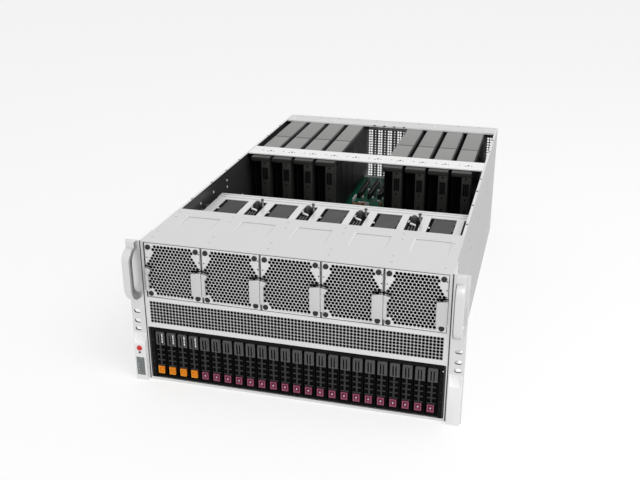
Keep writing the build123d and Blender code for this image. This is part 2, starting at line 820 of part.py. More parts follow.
# Rear panel: card windows, perforated covers, power supply windows, ports, vents and top flange
with BuildPart() as rear_panel:
    window_height = card_height - window_low_lap - window_high_lap
    window_mid_z = card_bottom + window_low_lap + window_height / 2
    cover_pitch = cover_field_height / cover_hole_rows
    cover_mid_z = board_top + cover_field_low + cover_field_height / 2
    cover_xs = [*(left - cover_hole_shift for left in free_slot_lefts), inner_half - edge_cover_from_wall]
    centre_half = psu_partition_x - sheet
    vent_low = port_low + max(height for _, _, height in ports) + vent_field_slot[1]
    vent_high = tray_low - vent_field_slot[1]
    with BuildSketch(front_plane(back_y)):
        with Locations((0, (sheet + top_inside) / 2)):
            Rectangle(2 * (inner_half - touch_gap), top_inside - sheet)
        with Locations(*[(card_left + card_width / 2, window_mid_z) for card_left in card_lefts]):
            Rectangle(card_width - 2 * window_side_lap, window_height, mode=Mode.SUBTRACT)
        with Locations(*[(cover_x, cover_mid_z) for cover_x in cover_xs]):
            with GridLocations(0, cover_pitch, 1, cover_hole_rows):
                Rectangle(cover_hole_width, cover_hole_height, mode=Mode.SUBTRACT)
        for side in (-1, 1):
            for psu_low in psu_lows:
                with Locations((side * psu_x, psu_low + psu_height / 2)):
                    Rectangle(psu_width + 2 * psu_gap, psu_height + 2 * seat_gap, mode=Mode.SUBTRACT)
        for port_x, port_width, port_height in ports:
            with Locations((port_x, port_low + port_height / 2)):
                Rectangle(port_width, port_height, mode=Mode.SUBTRACT)
        with Locations((0, (vent_low + vent_high) / 2)):
            with GridLocations(
                2 * centre_half / vent_field_columns,
                (vent_high - vent_low) / vent_field_rows,
                vent_field_columns,
                vent_field_rows,
            ):
                Rectangle(*vent_field_slot, mode=Mode.SUBTRACT)
    extrude(amount=sheet)
    with BuildSketch(Plane.XY.offset(top_inside)):
        with Locations((0, back_y - rear_flange_depth / 2)):
            Rectangle(body_width - 2 * top_flange - 2 * touch_gap, rear_flange_depth)
    extrude(amount=sheet)
save(rear_panel, "rear_panel")


def power_supply(side, low):
    """One power supply: body with a set-back fan, a mains inlet and a pull handle at the rear."""
    face_y = back_y + psu_face_proud
    mid_z = low + psu_height / 2
    fan_x = side * psu_x - psu_width / 4
    inlet_x = side * psu_x + psu_width / 4
    with BuildPart() as supply:
        with BuildSketch(front_plane(face_y)):
            with Locations((side * psu_x, mid_z)):
                Rectangle(psu_width, psu_height)
        extrude(amount=psu_length)
        with BuildSketch(front_plane(face_y)):
            with Locations((fan_x, mid_z)):
                Circle(psu_fan_radius)
        extrude(amount=psu_fan_recess, mode=Mode.SUBTRACT)
        with BuildSketch(front_plane(face_y)):
            with Locations((inlet_x, mid_z)):
                Rectangle(psu_inlet_width, psu_inlet_height)
        extrude(amount=psu_inlet_depth, mode=Mode.SUBTRACT)
        # Three blade pins standing in the inlet
        with BuildSketch(front_plane(face_y - psu_inlet_depth)):
            with Locations((inlet_x, mid_z)):
                with Locations((-psu_pin_pitch, -psu_pin_drop), (0, psu_pin_drop), (psu_pin_pitch, -psu_pin_drop)):
                    Rectangle(psu_pin_width, psu_pin_height)
        extrude(amount=-psu_pin_length)
        # Pull handle arched over the fan
        with BuildSketch(Plane.XY.offset(mid_z - psu_handle_height / 2)):
            with Locations((fan_x, face_y + psu_handle_reach / 2)):
                Rectangle(psu_handle_width, psu_handle_reach)
            with Locations((fan_x, face_y + (psu_handle_reach - psu_handle_bar) / 2)):
                Rectangle(
                    psu_handle_width - 2 * psu_handle_bar,
                    psu_handle_reach - psu_handle_bar,
                    mode=Mode.SUBTRACT,
                )
        extrude(amount=psu_handle_height)
    return supply


supply = power_supply(0, 0)
supply_places = [(side * psu_x, psu_low) for side in (-1, 1) for psu_low in psu_lows]
for number, (supply_x, supply_low) in enumerate(supply_places, start=1):
    save_copy(supply, f"power_supply_{number}", supply_x, supply_low)


def ear_bracket(side):
    """Folded ear: face plate with three rack slots and a return along the side wall."""
    near = side * (body_width / 2 + touch_gap)
    fold = side * ear_inner
    edge = side * (ear_inner + ear_width)
    with BuildPart() as bracket:
        with BuildSketch():
            with BuildLine():
                Polyline(
                    (fold, front_y),
                    (edge, front_y),
                    (edge, front_y + ear_thickness),
                    (fold, front_y + ear_thickness),
                    (fold, front_y + ear_return),
                    (near, front_y + ear_return),
                    (near, front_y + ear_thickness / 2),
                    (fold, front_y + ear_thickness / 2),
                    close=True,
                )
            make_face()
        extrude(amount=body_height)
        with BuildSketch(front_plane(front_y)):
            slot_x = side * (ear_inner + ear_width - rack_slot_from_edge)
            with Locations(*[(slot_x, slot_z) for slot_z in slot_heights]):
                SlotOverall(slot_length, slot_height)
        extrude(amount=-ear_thickness, mode=Mode.SUBTRACT)
    return bracket.part


def ear_handle(side):
    """Pull handle: a bow standing on a wider root at each end, with a finger gap behind its bar."""
    shoulder_y = front_y - handle_reach / 3
    bar_y = front_y - handle_reach
    inner_y = bar_y + handle_bar
    high = body_height
    low = handle_bottom
    with BuildPart() as handle:
        with BuildSketch(Plane.YZ.offset(side * ear_mid - handle_width / 2)):
            with BuildLine():
                Polyline((front_y, low), (front_y, high), (shoulder_y, high), (shoulder_y, high - handle_bar))
                ThreePointArc(
                    (shoulder_y, high - handle_bar),
                    ((shoulder_y + 3 * bar_y) / 4, high - 1.9 * handle_bar),
                    (bar_y, high - 3.4 * handle_bar),
                )
                Line((bar_y, high - 3.4 * handle_bar), (bar_y, low + 3.0 * handle_bar))
                ThreePointArc(
                    (bar_y, low + 3.0 * handle_bar),
                    ((front_y + 2.4 * bar_y) / 3.4, low + 0.9 * handle_bar),
                    (front_y, low),
                )
            make_face()
            # Finger gap
            with BuildLine():
                Line((front_y, low + handle_root), (front_y, high - handle_root))
                ThreePointArc(
                    (front_y, high - handle_root),
                    ((front_y + 2 * inner_y) / 3, high - handle_root - 0.7 * handle_bar),
                    (inner_y, high - handle_root - 2.4 * handle_bar),
                )
                Line(
                    (inner_y, high - handle_root - 2.4 * handle_bar),
                    (inner_y, low + handle_root + 2.4 * handle_bar),
                )
                ThreePointArc(
                    (inner_y, low + handle_root + 2.4 * handle_bar),
                    ((front_y + 2 * inner_y) / 3, low + handle_root + 0.7 * handle_bar),
                    (front_y, low + handle_root),
                )
            make_face(mode=Mode.SUBTRACT)
        extrude(amount=handle_width)
        chamfer(handle.edges().filter_by(Axis.Z).group_by(Axis.Y)[0], length=handle_chamfer)
    return handle.part


def ear_bezel(side):
    """Moulded lower bezel with a scooped thumb ramp; the left one holds the two buttons."""
    face_y = front_y - bezel_thickness
    ramp_y = front_y - 0.1 * bezel_thickness
    with BuildPart() as bezel:
        with BuildSketch(Plane.YZ.offset(side * ear_mid - bezel_width / 2)):
            with BuildLine():
                Polyline(
                    (front_y, 0),
                    (face_y, 0),
                    (face_y, scoop_bottom),
                    (ramp_y, bezel_top),
                    (front_y, bezel_top),
                    close=True,
                )
            make_face()
        extrude(amount=bezel_width)
        with BuildSketch(Plane.YZ.offset(side * ear_mid)):
            with BuildLine():
                Line((ramp_y, bezel_top), (face_y, scoop_bottom))
                ThreePointArc(
                    (face_y, scoop_bottom),
                    ((face_y + 3 * ramp_y) / 4, (2 * scoop_bottom + bezel_top) / 3),
                    (ramp_y, bezel_top),
                )
            make_face()
        extrude(amount=bezel_width / 2 - scoop_rim, both=True, mode=Mode.SUBTRACT)
        if side < 0:
            with BuildSketch(front_plane(face_y)):
                with Locations((button_x, id_button_z)):
                    Circle(id_button_radius + button_clearance)
                with Locations((button_x, reset_button_z)):
                    RegularPolygon(reset_button_radius + button_clearance, reset_button_sides)
            extrude(amount=-button_depth, mode=Mode.SUBTRACT)
    return bezel.part


for side, name in ((-1, "rack_ear_left"), (1, "rack_ear_right")):
    rack_ear = Compound(label=name, children=[ear_bracket(side), ear_handle(side), ear_bezel(side)])
    export_step(rack_ear, f"parts/{name}.step")


def button(radius, z, sides=0):
    """One push button in its pocket in the left bezel: round, or with flat sides where it is tiny."""
    face_y = front_y - bezel_thickness
    with BuildPart() as cap:
        with BuildSketch(front_plane(face_y - button_proud)):
            with Locations((button_x, z)):
                if sides:
                    RegularPolygon(radius, sides)
                else:
                    Circle(radius)
        extrude(amount=-(button_proud + button_depth - button_stroke - button_clearance))
    return cap


save(button(id_button_radius, id_button_z), "id_button")
save(button(reset_button_radius, reset_button_z, reset_button_sides), "reset_button")
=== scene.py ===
"""Looks of a five-unit accelerator server with its lid off: fans, drive carriers and two banks of cards."""
import logging
import math
from collections.abc import Callable, Iterable, Iterator
from contextlib import contextmanager
from dataclasses import dataclass
from enum import Enum

import bmesh
import bpy
from mathutils import Matrix, Vector


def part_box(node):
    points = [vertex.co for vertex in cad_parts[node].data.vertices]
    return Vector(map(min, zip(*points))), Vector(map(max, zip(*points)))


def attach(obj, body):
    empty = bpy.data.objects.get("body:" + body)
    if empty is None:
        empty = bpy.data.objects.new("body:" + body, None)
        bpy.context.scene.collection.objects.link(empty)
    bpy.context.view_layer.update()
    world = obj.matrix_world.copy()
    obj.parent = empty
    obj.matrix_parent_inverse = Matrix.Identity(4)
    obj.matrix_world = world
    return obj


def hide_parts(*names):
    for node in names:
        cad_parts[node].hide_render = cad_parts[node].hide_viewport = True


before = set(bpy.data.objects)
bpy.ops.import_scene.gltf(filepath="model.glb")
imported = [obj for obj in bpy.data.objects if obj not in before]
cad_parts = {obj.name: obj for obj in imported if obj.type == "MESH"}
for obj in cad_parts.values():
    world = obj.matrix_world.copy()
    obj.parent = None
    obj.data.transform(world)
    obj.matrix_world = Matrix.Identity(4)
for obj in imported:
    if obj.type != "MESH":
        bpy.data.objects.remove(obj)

Piece = bpy.types.Object
Tree = bpy.types.NodeTree
Node = bpy.types.Node
Socket = bpy.types.NodeSocket
Point = tuple[float, float, float]
Test = Callable[[Vector, Vector], bool]

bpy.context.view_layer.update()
NODES: dict[str, Piece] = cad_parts
MM = 0.001
FRONT = -368.5
BACK = 368.5
TOP = 222.5
WHITE = (1.0, 1.0, 1.0, 1.0)
log = logging.getLogger("server")


class Pick(Enum):
    """What an edit selects."""

    FACE = "FACE"
    EDGE = "EDGE"
    VERT = "VERT"


class Side(Enum):
    """Side of a piece, as the normal of its faces."""

    FRONT = (0.0, -1.0, 0.0)
    BACK = (0.0, 1.0, 0.0)
    LEFT = (-1.0, 0.0, 0.0)
    RIGHT = (1.0, 0.0, 0.0)
    TOP = (0.0, 0.0, 1.0)


class Axis(Enum):
    """Direction that a round piece points in, as the turn that takes +Z there."""

    ACROSS = (0.0, math.pi / 2, 0.0)
    DEPTH = (math.pi / 2, 0.0, 0.0)
    UP = (0.0, 0.0, 0.0)


class Bench:
    """Starts, shapes and finishes meshes. Its sizes are millimetres."""

    @staticmethod
    def focus(obj: Piece) -> None:
        """Selects one piece alone and makes it active."""
        if bpy.context.mode != "OBJECT":
            bpy.ops.object.mode_set(mode="OBJECT")
        bpy.ops.object.select_all(action="DESELECT")
        obj.select_set(True)
        bpy.context.view_layer.objects.active = obj

    @staticmethod
    def settle(name: str) -> Piece:
        """Names the new primitive and puts its place into its mesh."""
        obj = bpy.context.active_object
        obj.name = name
        obj.data.name = name
        bpy.ops.object.transform_apply(location=True, rotation=True, scale=True)
        return obj

    @staticmethod
    def start(name: str, kind: str, **values: object) -> Piece:
        """Adds a primitive with its place in its mesh.

        Args:
            name: Name of the piece.
            kind: Kind of the primitive.
            values: What its operator takes, in metres.

        Returns:
            The piece, at the origin and unscaled.
        """
        bpy.ops.object.select_all(action="DESELECT")
        getattr(bpy.ops.mesh, f"primitive_{kind}_add")(**values)
        return Bench.settle(name)

    @staticmethod
    def box(name: str, low: Point, high: Point) -> Piece:
        """Adds a block between two corners.

        Args:
            name: Name of the piece.
            low: Lowest corner.
            high: Highest corner.

        Returns:
            The block.
        """
        size = [(b - a) * MM for a, b in zip(low, high)]
        middle = [(a + b) / 2 * MM for a, b in zip(low, high)]
        return Bench.start(name, "cube", size=1, location=middle, scale=size)

    @staticmethod
    def rod(name: str, centre: Point, radius: float, length: float, axis: Axis, sides: int = 20) -> Piece:
        """Adds a round or many-sided bar.

        Args:
            name: Name of the piece.
            centre: Middle of the bar.
            radius: Its radius.
            length: Its length.
            axis: The way it points.
            sides: Number of sides.

        Returns:
            The bar.
        """
        place = [value * MM for value in centre]
        size = {"vertices": sides, "radius": radius * MM, "depth": length * MM}
        return Bench.start(name, "cylinder", location=place, rotation=axis.value, **size)

    @staticmethod
    def sheet(name: str, low: tuple[float, float], high: tuple[float, float]) -> Piece:
        """Adds an upright plane at the front, between its lower left and upper right corners.

        Args:
            name: Name of the piece.
            low: Left and lower edge.
            high: Right and upper edge.

        Returns:
            The plane.
        """
        bpy.ops.object.select_all(action="DESELECT")
        middle = ((low[0] + high[0]) / 2 * MM, FRONT * MM, (low[1] + high[1]) / 2 * MM)
        bpy.ops.mesh.primitive_plane_add(size=1, location=middle, rotation=Axis.DEPTH.value)
        bpy.context.active_object.scale = ((high[0] - low[0]) * MM, (high[1] - low[1]) * MM, 1)
        return Bench.settle(name)

    @staticmethod
    @contextmanager
    def editing(obj: Piece, mode: Pick = Pick.FACE, whole: bool = False) -> Iterator[None]:
        """Opens a piece in edit mode and closes it again.

        Args:
            obj: The piece.
            mode: What is selected there.
            whole: Whether all of it is selected at first, or nothing.

        Yields:
            Nothing.
        """
        Bench.focus(obj)
        bpy.ops.object.mode_set(mode="EDIT")
        bpy.ops.mesh.select_mode(type=mode.value)
        bpy.ops.mesh.select_all(action="SELECT" if whole else "DESELECT")
        yield
        bpy.ops.object.mode_set(mode="OBJECT")

    @staticmethod
    def pick(obj: Piece, test: Test, mode: Pick = Pick.FACE) -> None:
        """Selects only the parts of a mesh that a test accepts.

        Args:
            obj: The piece in edit mode.
            test: Takes a part's place in millimetres and its normal or direction.
            mode: Faces, edges or vertices.
        """
        bpy.ops.mesh.select_all(action="DESELECT")
        bpy.ops.mesh.select_mode(type=mode.value)
        shape = bmesh.from_edit_mesh(obj.data)
        if mode is Pick.FACE:
            found = [face for face in shape.faces if test(face.calc_center_median() / MM, face.normal)]
        elif mode is Pick.EDGE:
            found = []
            for edge in shape.edges:
                first, last = (vert.co for vert in edge.verts)
                if test((first + last) / 2 / MM, (last - first).normalized()):
                    found.append(edge)
        else:
            found = [vert for vert in shape.verts if test(vert.co / MM, vert.normal)]
        for part in found:
            part.select_set(True)
        bmesh.update_edit_mesh(obj.data)

    @staticmethod
    def extrude(y: float) -> None:
        """Extrudes the selection backwards by millimetres."""
        bpy.ops.mesh.extrude_region_move(TRANSFORM_OT_translate={"value": (0, y * MM, 0)})

    @staticmethod
    def drag(obj: Piece, test: Test, x: float = 0.0, y: float = 0.0, z: float = 0.0) -> None:
        """Moves the corners that a test accepts.

        Args:
            obj: The piece.
            test: Chooses the corners.
            x: Move across.
            y: Move in depth.
            z: Move up.
        """
        with Bench.editing(obj):
            Bench.pick(obj, test, Pick.VERT)
            bpy.ops.transform.translate(value=(x * MM, y * MM, z * MM))

    @staticmethod
    def sink(obj: Piece, side: Side, rim: float, depth: float) -> Piece:
        """Insets the faces on one side of a piece and presses them in.

        Args:
            obj: The piece.
            side: The side.
            rim: Width of the rim that is left.
            depth: How far the faces go in.

        Returns:
            The piece.
        """
        with Bench.editing(obj):
            Bench.pick(obj, lambda _, normal: normal.dot(side.value) > 0.9)
            bpy.ops.mesh.inset(thickness=rim * MM, depth=-depth * MM)
        return obj

    @staticmethod
    def pierce(obj: Piece, wall: float) -> None:
        """Opens a block from front to back.

        Args:
            obj: The block.
            wall: Thickness of the wall that is left.
        """
        with Bench.editing(obj):
            Bench.pick(obj, lambda at, normal: abs(normal.y) > 0.9)
            bpy.ops.mesh.inset(thickness=wall * MM)
            bpy.ops.mesh.bridge_edge_loops()

    @staticmethod
    def soften(obj: Piece, width: float, segments: int = 1, angle: float = 35.0) -> Piece:
        """Rounds the sharp edges and smooths the shading.

        Args:
            obj: The piece.
            width: Width of the rounding.
            segments: Steps across it.
            angle: Least turn of an edge that is rounded, in degrees.

        Returns:
            The piece.
        """
        bevel = obj.modifiers.new("soft_edges", "BEVEL")
        bevel.width = width * MM
        bevel.segments = segments
        bevel.limit_method = "ANGLE"
        bevel.angle_limit = math.radians(angle)
        Bench.focus(obj)
        bpy.ops.object.modifier_apply(modifier=bevel.name)
        bpy.ops.object.shade_smooth_by_angle(angle=math.radians(30))
        return obj

    @staticmethod
    def copy(obj: Piece, name: str, x: float = 0.0, y: float = 0.0, z: float = 0.0) -> Piece:
        """Copies a piece with its own mesh, moved by a vector in millimetres.

        Args:
            obj: The piece.
            name: Name of the copy.
            x: Move across.
            y: Move in depth.
            z: Move up.

        Returns:
            The copy.
        """
        twin = obj.copy()
        twin.data = obj.data.copy()
        twin.name = name
        twin.data.name = name
        twin.data.transform(Matrix.Translation((x * MM, y * MM, z * MM)))
        bpy.context.collection.objects.link(twin)
        return twin

    @staticmethod
    def join(name: str, parts: Iterable[Piece]) -> Piece:
        """Joins pieces into one.

        Args:
            name: Name of the whole.
            parts: The pieces.

        Returns:
            The joined piece.
        """
        parts = list(parts)
        Bench.focus(parts[0])
        for part in parts:
            part.select_set(True)
        if len(parts) > 1:
            bpy.ops.object.join()
        parts[0].name = name
        parts[0].data.name = name
        return parts[0]

    @staticmethod
    def scatter(name: str, cell: Piece, places: Iterable[tuple[float, float]]) -> Piece:
        """Repeats a cell over places on the front and welds the copies together.

        Args:
            name: Name of the whole.
            cell: The cell, which is used up.
            places: Moves across and up.

        Returns:
            The welded sheet.
        """
        copies = [Bench.copy(cell, f"{name}_cell", x=x, z=z) for x, z in places]
        bpy.data.objects.remove(cell)
        whole = Bench.join(name, copies)
        with Bench.editing(whole, Pick.VERT, whole=True):
            bpy.ops.mesh.remove_doubles(threshold=0.00002)
        return whole

    @staticmethod
    def holed_cell(name: str, sides: int, pitch: float, hole: float, depth: float, centre: Point) -> Piece:
        """Makes one cell of a perforated sheet: a many-sided outline round a hole with walls.

        Args:
            name: Name of the piece.
            sides: Sides of the outline, 6 or 4.
            pitch: Distance between opposite sides.
            hole: Radius of the hole.
            depth: Thickness of the sheet.
            centre: Middle of the cell.

        Returns:
            The cell.
        """
        turn = (math.pi / 2, math.pi / 4 if sides == 4 else 0.0, 0.0)
        place = [value * MM for value in centre]
        radius = pitch / 2 / math.cos(math.pi / sides) * MM
        cell = Bench.start(name, "circle", vertices=sides, radius=radius, location=place, rotation=turn)
        with Bench.editing(cell, Pick.EDGE, whole=True):
            bpy.ops.mesh.subdivide(number_cuts=1)
            bpy.ops.mesh.select_all(action="DESELECT")
            bpy.ops.mesh.primitive_circle_add(
                vertices=2 * sides, radius=hole * MM, location=place, rotation=turn
            )
            bpy.ops.mesh.select_all(action="SELECT")
            bpy.ops.mesh.bridge_edge_loops()
            middle = Vector(centre)
            Bench.pick(cell, lambda at, _: (at - middle).length < hole * 1.02, Pick.EDGE)
            Bench.extrude(depth)
        with Bench.editing(cell, whole=True):
            bpy.ops.mesh.normals_make_consistent(inside=False)
        if sum(face.normal.y * face.area for face in cell.data.polygons) > 0:
            with Bench.editing(cell, whole=True):
                bpy.ops.mesh.flip_normals()
        return cell

    @staticmethod
    def from_node(node: str, name: str = "") -> Piece:
        """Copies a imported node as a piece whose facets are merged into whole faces.

        Args:
            node: Name of the node.
            name: Name of the piece, where it isn't the node's with "_dressed" after it.

        Returns:
            The piece.
        """
        twin = Bench.copy(NODES[node], name or f"{node}_dressed")
        twin.parent = None
        twin.data.materials.clear()
        with Bench.editing(twin, Pick.VERT, whole=True):
            bpy.ops.mesh.remove_doubles(threshold=0.000002)
            bpy.ops.mesh.dissolve_limited(angle_limit=math.radians(1.0))
        return twin


class Groups:
    """Adds shader nodes and builds the node groups that the finishes share."""

    @staticmethod
    def feed(tree: Tree, node: Node, values: dict[str | int, object]) -> Node:
        """Links or sets the inputs of a node.

        Args:
            tree: The node's tree.
            node: The node.
            values: A socket or a plain value for each input.

        Returns:
            The node.
        """
        for label, value in values.items():
            if isinstance(value, Socket):
                tree.links.new(value, node.inputs[label])
            else:
                node.inputs[label].default_value = value
        return node

    @staticmethod
    def add(tree: Tree, kind: str, values: dict[str | int, object], **settings: object) -> Node:
        """Adds a shader node.

        Args:
            tree: The tree.
            kind: Kind of the node.
            values: A socket or a plain value for each input.
            settings: Properties that are set first.

        Returns:
            The node.
        """
        node = tree.nodes.new(f"ShaderNode{kind}")
        for name, value in settings.items():
            setattr(node, name, value)
        return Groups.feed(tree, node, values)

    @staticmethod
    def sum(tree: Tree, kind: str, first: object, second: object) -> Socket:
        """Adds a Math node of a kind and returns its result."""
        return Groups.add(tree, "Math", {0: first, 1: second}, operation=kind).outputs[0]

    @staticmethod
    def _new(name: str, inputs: dict[str, object], outputs: Iterable[str]) -> tuple[Tree, Node, Node]:
        """Starts a node group with named sockets. A colour's name is Colour, and a vector's is Vector.

        Args:
            name: Name of the group.
            inputs: Defaults of its inputs.
            outputs: Names of its outputs.

        Returns:
            The tree, its input node and its output node.
        """
        tree = bpy.data.node_groups.new(name, "ShaderNodeTree")
        kinds = {"Colour": "Color", "Vector": "Vector"}
        for way, labels in (("INPUT", inputs), ("OUTPUT", outputs)):
            for label in labels:
                kind = f"NodeSocket{kinds.get(label, 'Float')}"
                socket = tree.interface.new_socket(name=label, in_out=way, socket_type=kind)
                if way == "INPUT" and inputs[label] is not None:
                    socket.default_value = inputs[label]
        return tree, tree.nodes.new("NodeGroupInput"), tree.nodes.new("NodeGroupOutput")

    @staticmethod
    def grain() -> Tree:
        """Returns the group of fine mottling in colour and roughness, with a height for a bump."""
        if "surface_grain" in bpy.data.node_groups:
            return bpy.data.node_groups["surface_grain"]
        pale = (0.8, 0.8, 0.8, 1.0)
        inputs = {
            "Vector": None, "Colour": pale, "Variation": 0.06, "Scale": 900.0, "Roughness": 0.5, "Spread": 0.08
        }
        tree, source, sink = Groups._new("surface_grain", inputs, ("Colour", "Roughness", "Height"))
        given = source.outputs
        vector = given["Vector"]
        slow = Groups.sum(tree, "MULTIPLY", given["Scale"], 0.03)
        fine = Groups.add(tree, "TexNoise", {"Vector": vector, "Scale": given["Scale"], "Detail": 3.0})
        broad = Groups.add(tree, "TexNoise", {"Vector": vector, "Scale": slow, "Detail": 2.0})
        both = Groups.sum(tree, "ADD", fine.outputs["Fac"], broad.outputs["Fac"])
        centred = Groups.sum(tree, "SUBTRACT", both, 1.0)
        lift = Groups.sum(tree, "MULTIPLY", centred, given["Variation"])
        value = Groups.sum(tree, "ADD", Groups.sum(tree, "MULTIPLY", lift, 2.0), 1.0)
        tint = Groups.add(tree, "HueSaturation", {"Value": value, "Color": given["Colour"]}).outputs[
            "Color"
        ]
        rough = Groups.sum(tree, "MULTIPLY", centred, given["Spread"])
        rough = Groups.sum(tree, "ADD", rough, given["Roughness"])
        Groups.feed(tree, sink, {"Colour": tint, "Roughness": rough, "Height": fine.outputs["Fac"]})
        return tree

    @staticmethod
    def dust() -> Tree:
        """Returns the group of faint pale dust on what faces up."""
        if "settled_dust" in bpy.data.node_groups:
            return bpy.data.node_groups["settled_dust"]
        inputs = {"Vector": None, "Colour": (0.8, 0.8, 0.8, 1.0), "Amount": 0.05}
        tree, source, sink = Groups._new("settled_dust", inputs, ("Colour", "Mask"))
        given = source.outputs
        noise = Groups.add(tree, "TexNoise", {"Vector": given["Vector"], "Scale": 60.0, "Detail": 4.0})
        face = tree.nodes.new("ShaderNodeNewGeometry")
        split = Groups.add(tree, "SeparateXYZ", {"Vector": face.outputs["Normal"]})
        up = Groups.sum(tree, "MAXIMUM", split.outputs["Z"], 0.0)
        mask = Groups.sum(tree, "MULTIPLY", up, noise.outputs["Fac"])
        mask = Groups.sum(tree, "MULTIPLY", mask, given["Amount"])
        values = {"Factor": mask, "A": given["Colour"], "B": (0.6, 0.58, 0.55, 1.0)}
        mix = Groups.add(tree, "Mix", values, data_type="RGBA")
        Groups.feed(tree, sink, {"Colour": mix.outputs["Result"], "Mask": mask})
        return tree


@dataclass(frozen=True)
class Finish:
    """One finish: a Principled surface fed by the shared grain and dust groups."""

    name: str
    colour: Point
    metallic: float = 0.0
    roughness: float = 0.5
    variation: float = 0.06
    spread: float = 0.10
    scale: float = 900.0
    stretch: Point = (1.0, 1.0, 1.0)
    bump: float = 0.05
    dust: float = 0.03
    specular: float = 0.5

    def material(self) -> bpy.types.Material:
        """Returns the finish's material, built on its first use."""
        if self.name in bpy.data.materials:
            return bpy.data.materials[self.name]
        made = bpy.data.materials.new(self.name)
        made.use_nodes = True
        tree = made.node_tree
        place = tree.nodes.new("ShaderNodeTexCoord").outputs["Object"]
        stretched = Groups.add(tree, "Mapping", {"Vector": place, "Scale": self.stretch}).outputs["Vector"]
        values = {
            name.capitalize(): getattr(self, name) for name in ("variation", "scale", "roughness", "spread")
        }
        values |= {"Vector": stretched, "Colour": (*self.colour, 1.0)}
        grain = Groups.add(tree, "Group", values, node_tree=Groups.grain()).outputs
        values = {"Vector": place, "Colour": grain["Colour"], "Amount": self.dust}
        dusty = Groups.add(tree, "Group", values, node_tree=Groups.dust()).outputs["Colour"]
        bump = Groups.add(
            tree, "Bump", {"Strength": self.bump, "Distance": 0.0002, "Height": grain["Height"]}
        )
        values = {"Metallic": self.metallic, "Specular IOR Level": self.specular, "Base Color": dusty}
        values |= {"Roughness": grain["Roughness"], "Normal": bump.outputs["Normal"]}
        Groups.feed(tree, tree.nodes["Principled BSDF"], values)
        return made

    def dress(self, obj: Piece) -> Piece:
        """Gives a piece this finish all over.

        Args:
            obj: The piece.

        Returns:
            The piece.
        """
        if obj.data.materials:
            for slot in obj.material_slots:
                slot.material = self.material()
        else:
            obj.data.materials.append(self.material())
        return obj

    def dress_where(self, obj: Piece, test: Test) -> Piece:
        """Gives this finish to the faces that a test accepts.

        Args:
            obj: The piece, which has a first finish already.
            test: Takes a face's middle in millimetres and its normal.

        Returns:
            The piece.
        """
        obj.data.materials.append(self.material())
        index = len(obj.data.materials) - 1
        for face in obj.data.polygons:
            if test(face.center / MM, face.normal):
                face.material_index = index
        return obj

    def soft(self, obj: Piece, width: float, segments: int = 1) -> Piece:
        """Rounds a piece's edges and gives it this finish."""
        return self.dress(Bench.soften(obj, width, segments))

    def block(self, name: str, low: Point, high: Point, width: float, segments: int = 1) -> Piece:
        """Makes a block with rounded edges in this finish."""
        return self.soft(Bench.box(name, low, high), width, segments)


def grey(value: float) -> Point:
    """Returns a neutral colour."""
    return (value, value, value)


DEEP_BRUSH = (1.0, 0.15, 1.0)
CROSS_BRUSH = (0.15, 1.0, 1.0)
UP_BRUSH = (1.0, 1.0, 0.2)

BAR_WHITE = Finish("bar_sheet", grey(0.95), 0.1, 0.36, 0.02, 0.08, 700.0, CROSS_BRUSH, 0.02)
ZINC = Finish("zinc_sheet", grey(0.74), 0.75, 0.36, 0.03, 0.10, 700.0, DEEP_BRUSH, 0.03)
COVER_ZINC = Finish("cover_sheet", grey(0.68), 0.7, 0.36, 0.02, 0.08, 700.0, DEEP_BRUSH, 0.02)
BRIGHT_ZINC = Finish("bright_sheet", grey(0.78), 0.4, 0.36, 0.02, 0.08, 700.0, CROSS_BRUSH, 0.02)
WALL_ZINC = Finish("wall_sheet", grey(0.45), 0.8, 0.36, 0.03, 0.10, 700.0, DEEP_BRUSH, 0.03)
# Near-black finish for the walls' inner faces: painted shade.
WALL_INSIDE_SHADE = Finish("wall_inside_shade", grey(0.055), 0.4, 0.45, 0.04, 0.10, 700.0, DEEP_BRUSH, 0.03, 0.04)
GUARD_STEEL = Finish("guard_plate", grey(0.80), 0.5, 0.34, 0.02, 0.08, 900.0, bump=0.02)
GRILLE_STEEL = Finish("grille_sheet", grey(0.52), 0.4, 0.40, 0.02, 0.08, 900.0, bump=0.02)
GUARD_MESH = Finish("guard_mesh", grey(0.74), 0.45, 0.38, 0.02, 0.08, 900.0, bump=0.02)
EAR_SHADE = Finish("ear_shade", grey(0.36), 0.8, 0.34, 0.02, 0.10, 600.0)
# Light grey for the rear panel's inner faces: painted light where the top flange shades them.
PANEL_INSIDE_LIT = Finish("panel_inside_lit", grey(0.86), 0.05, 0.5, 0.03, 0.08, 900.0)
# Dark grey for the inner faces of the ribs and small holes: painted shade.
PANEL_RIB_SHADE = Finish("panel_rib", grey(0.26), 0.1, 0.5, 0.05, 0.08, 900.0)
# Near-black for the walls of holes and slots: painted shade.
HOLE_SHADE = Finish("hole_wall_shade", grey(0.05), 0.2, 0.6, 0.05, 0.08, 900.0, dust=0.0)
TAB_STEEL = Finish("pull_tab_steel", grey(0.66), 0.6, 0.34, 0.03, 0.08, 900.0, UP_BRUSH, 0.03)
# Dark grey for folded edges set back between parts, as painted shade, and for the grey guide pins.
GREY_AND_SHADE = Finish("grey_and_fold_shade", grey(0.30), 0.7, 0.4, 0.05, 0.08, 900.0, UP_BRUSH, 0.03)
# Dark grey, used mostly as painted shade in seams, gaps and slots.
SHADE_GREY = Finish("shaded_rib_grey", grey(0.09), 0.4, 0.5, 0.06, 0.08, 900.0)
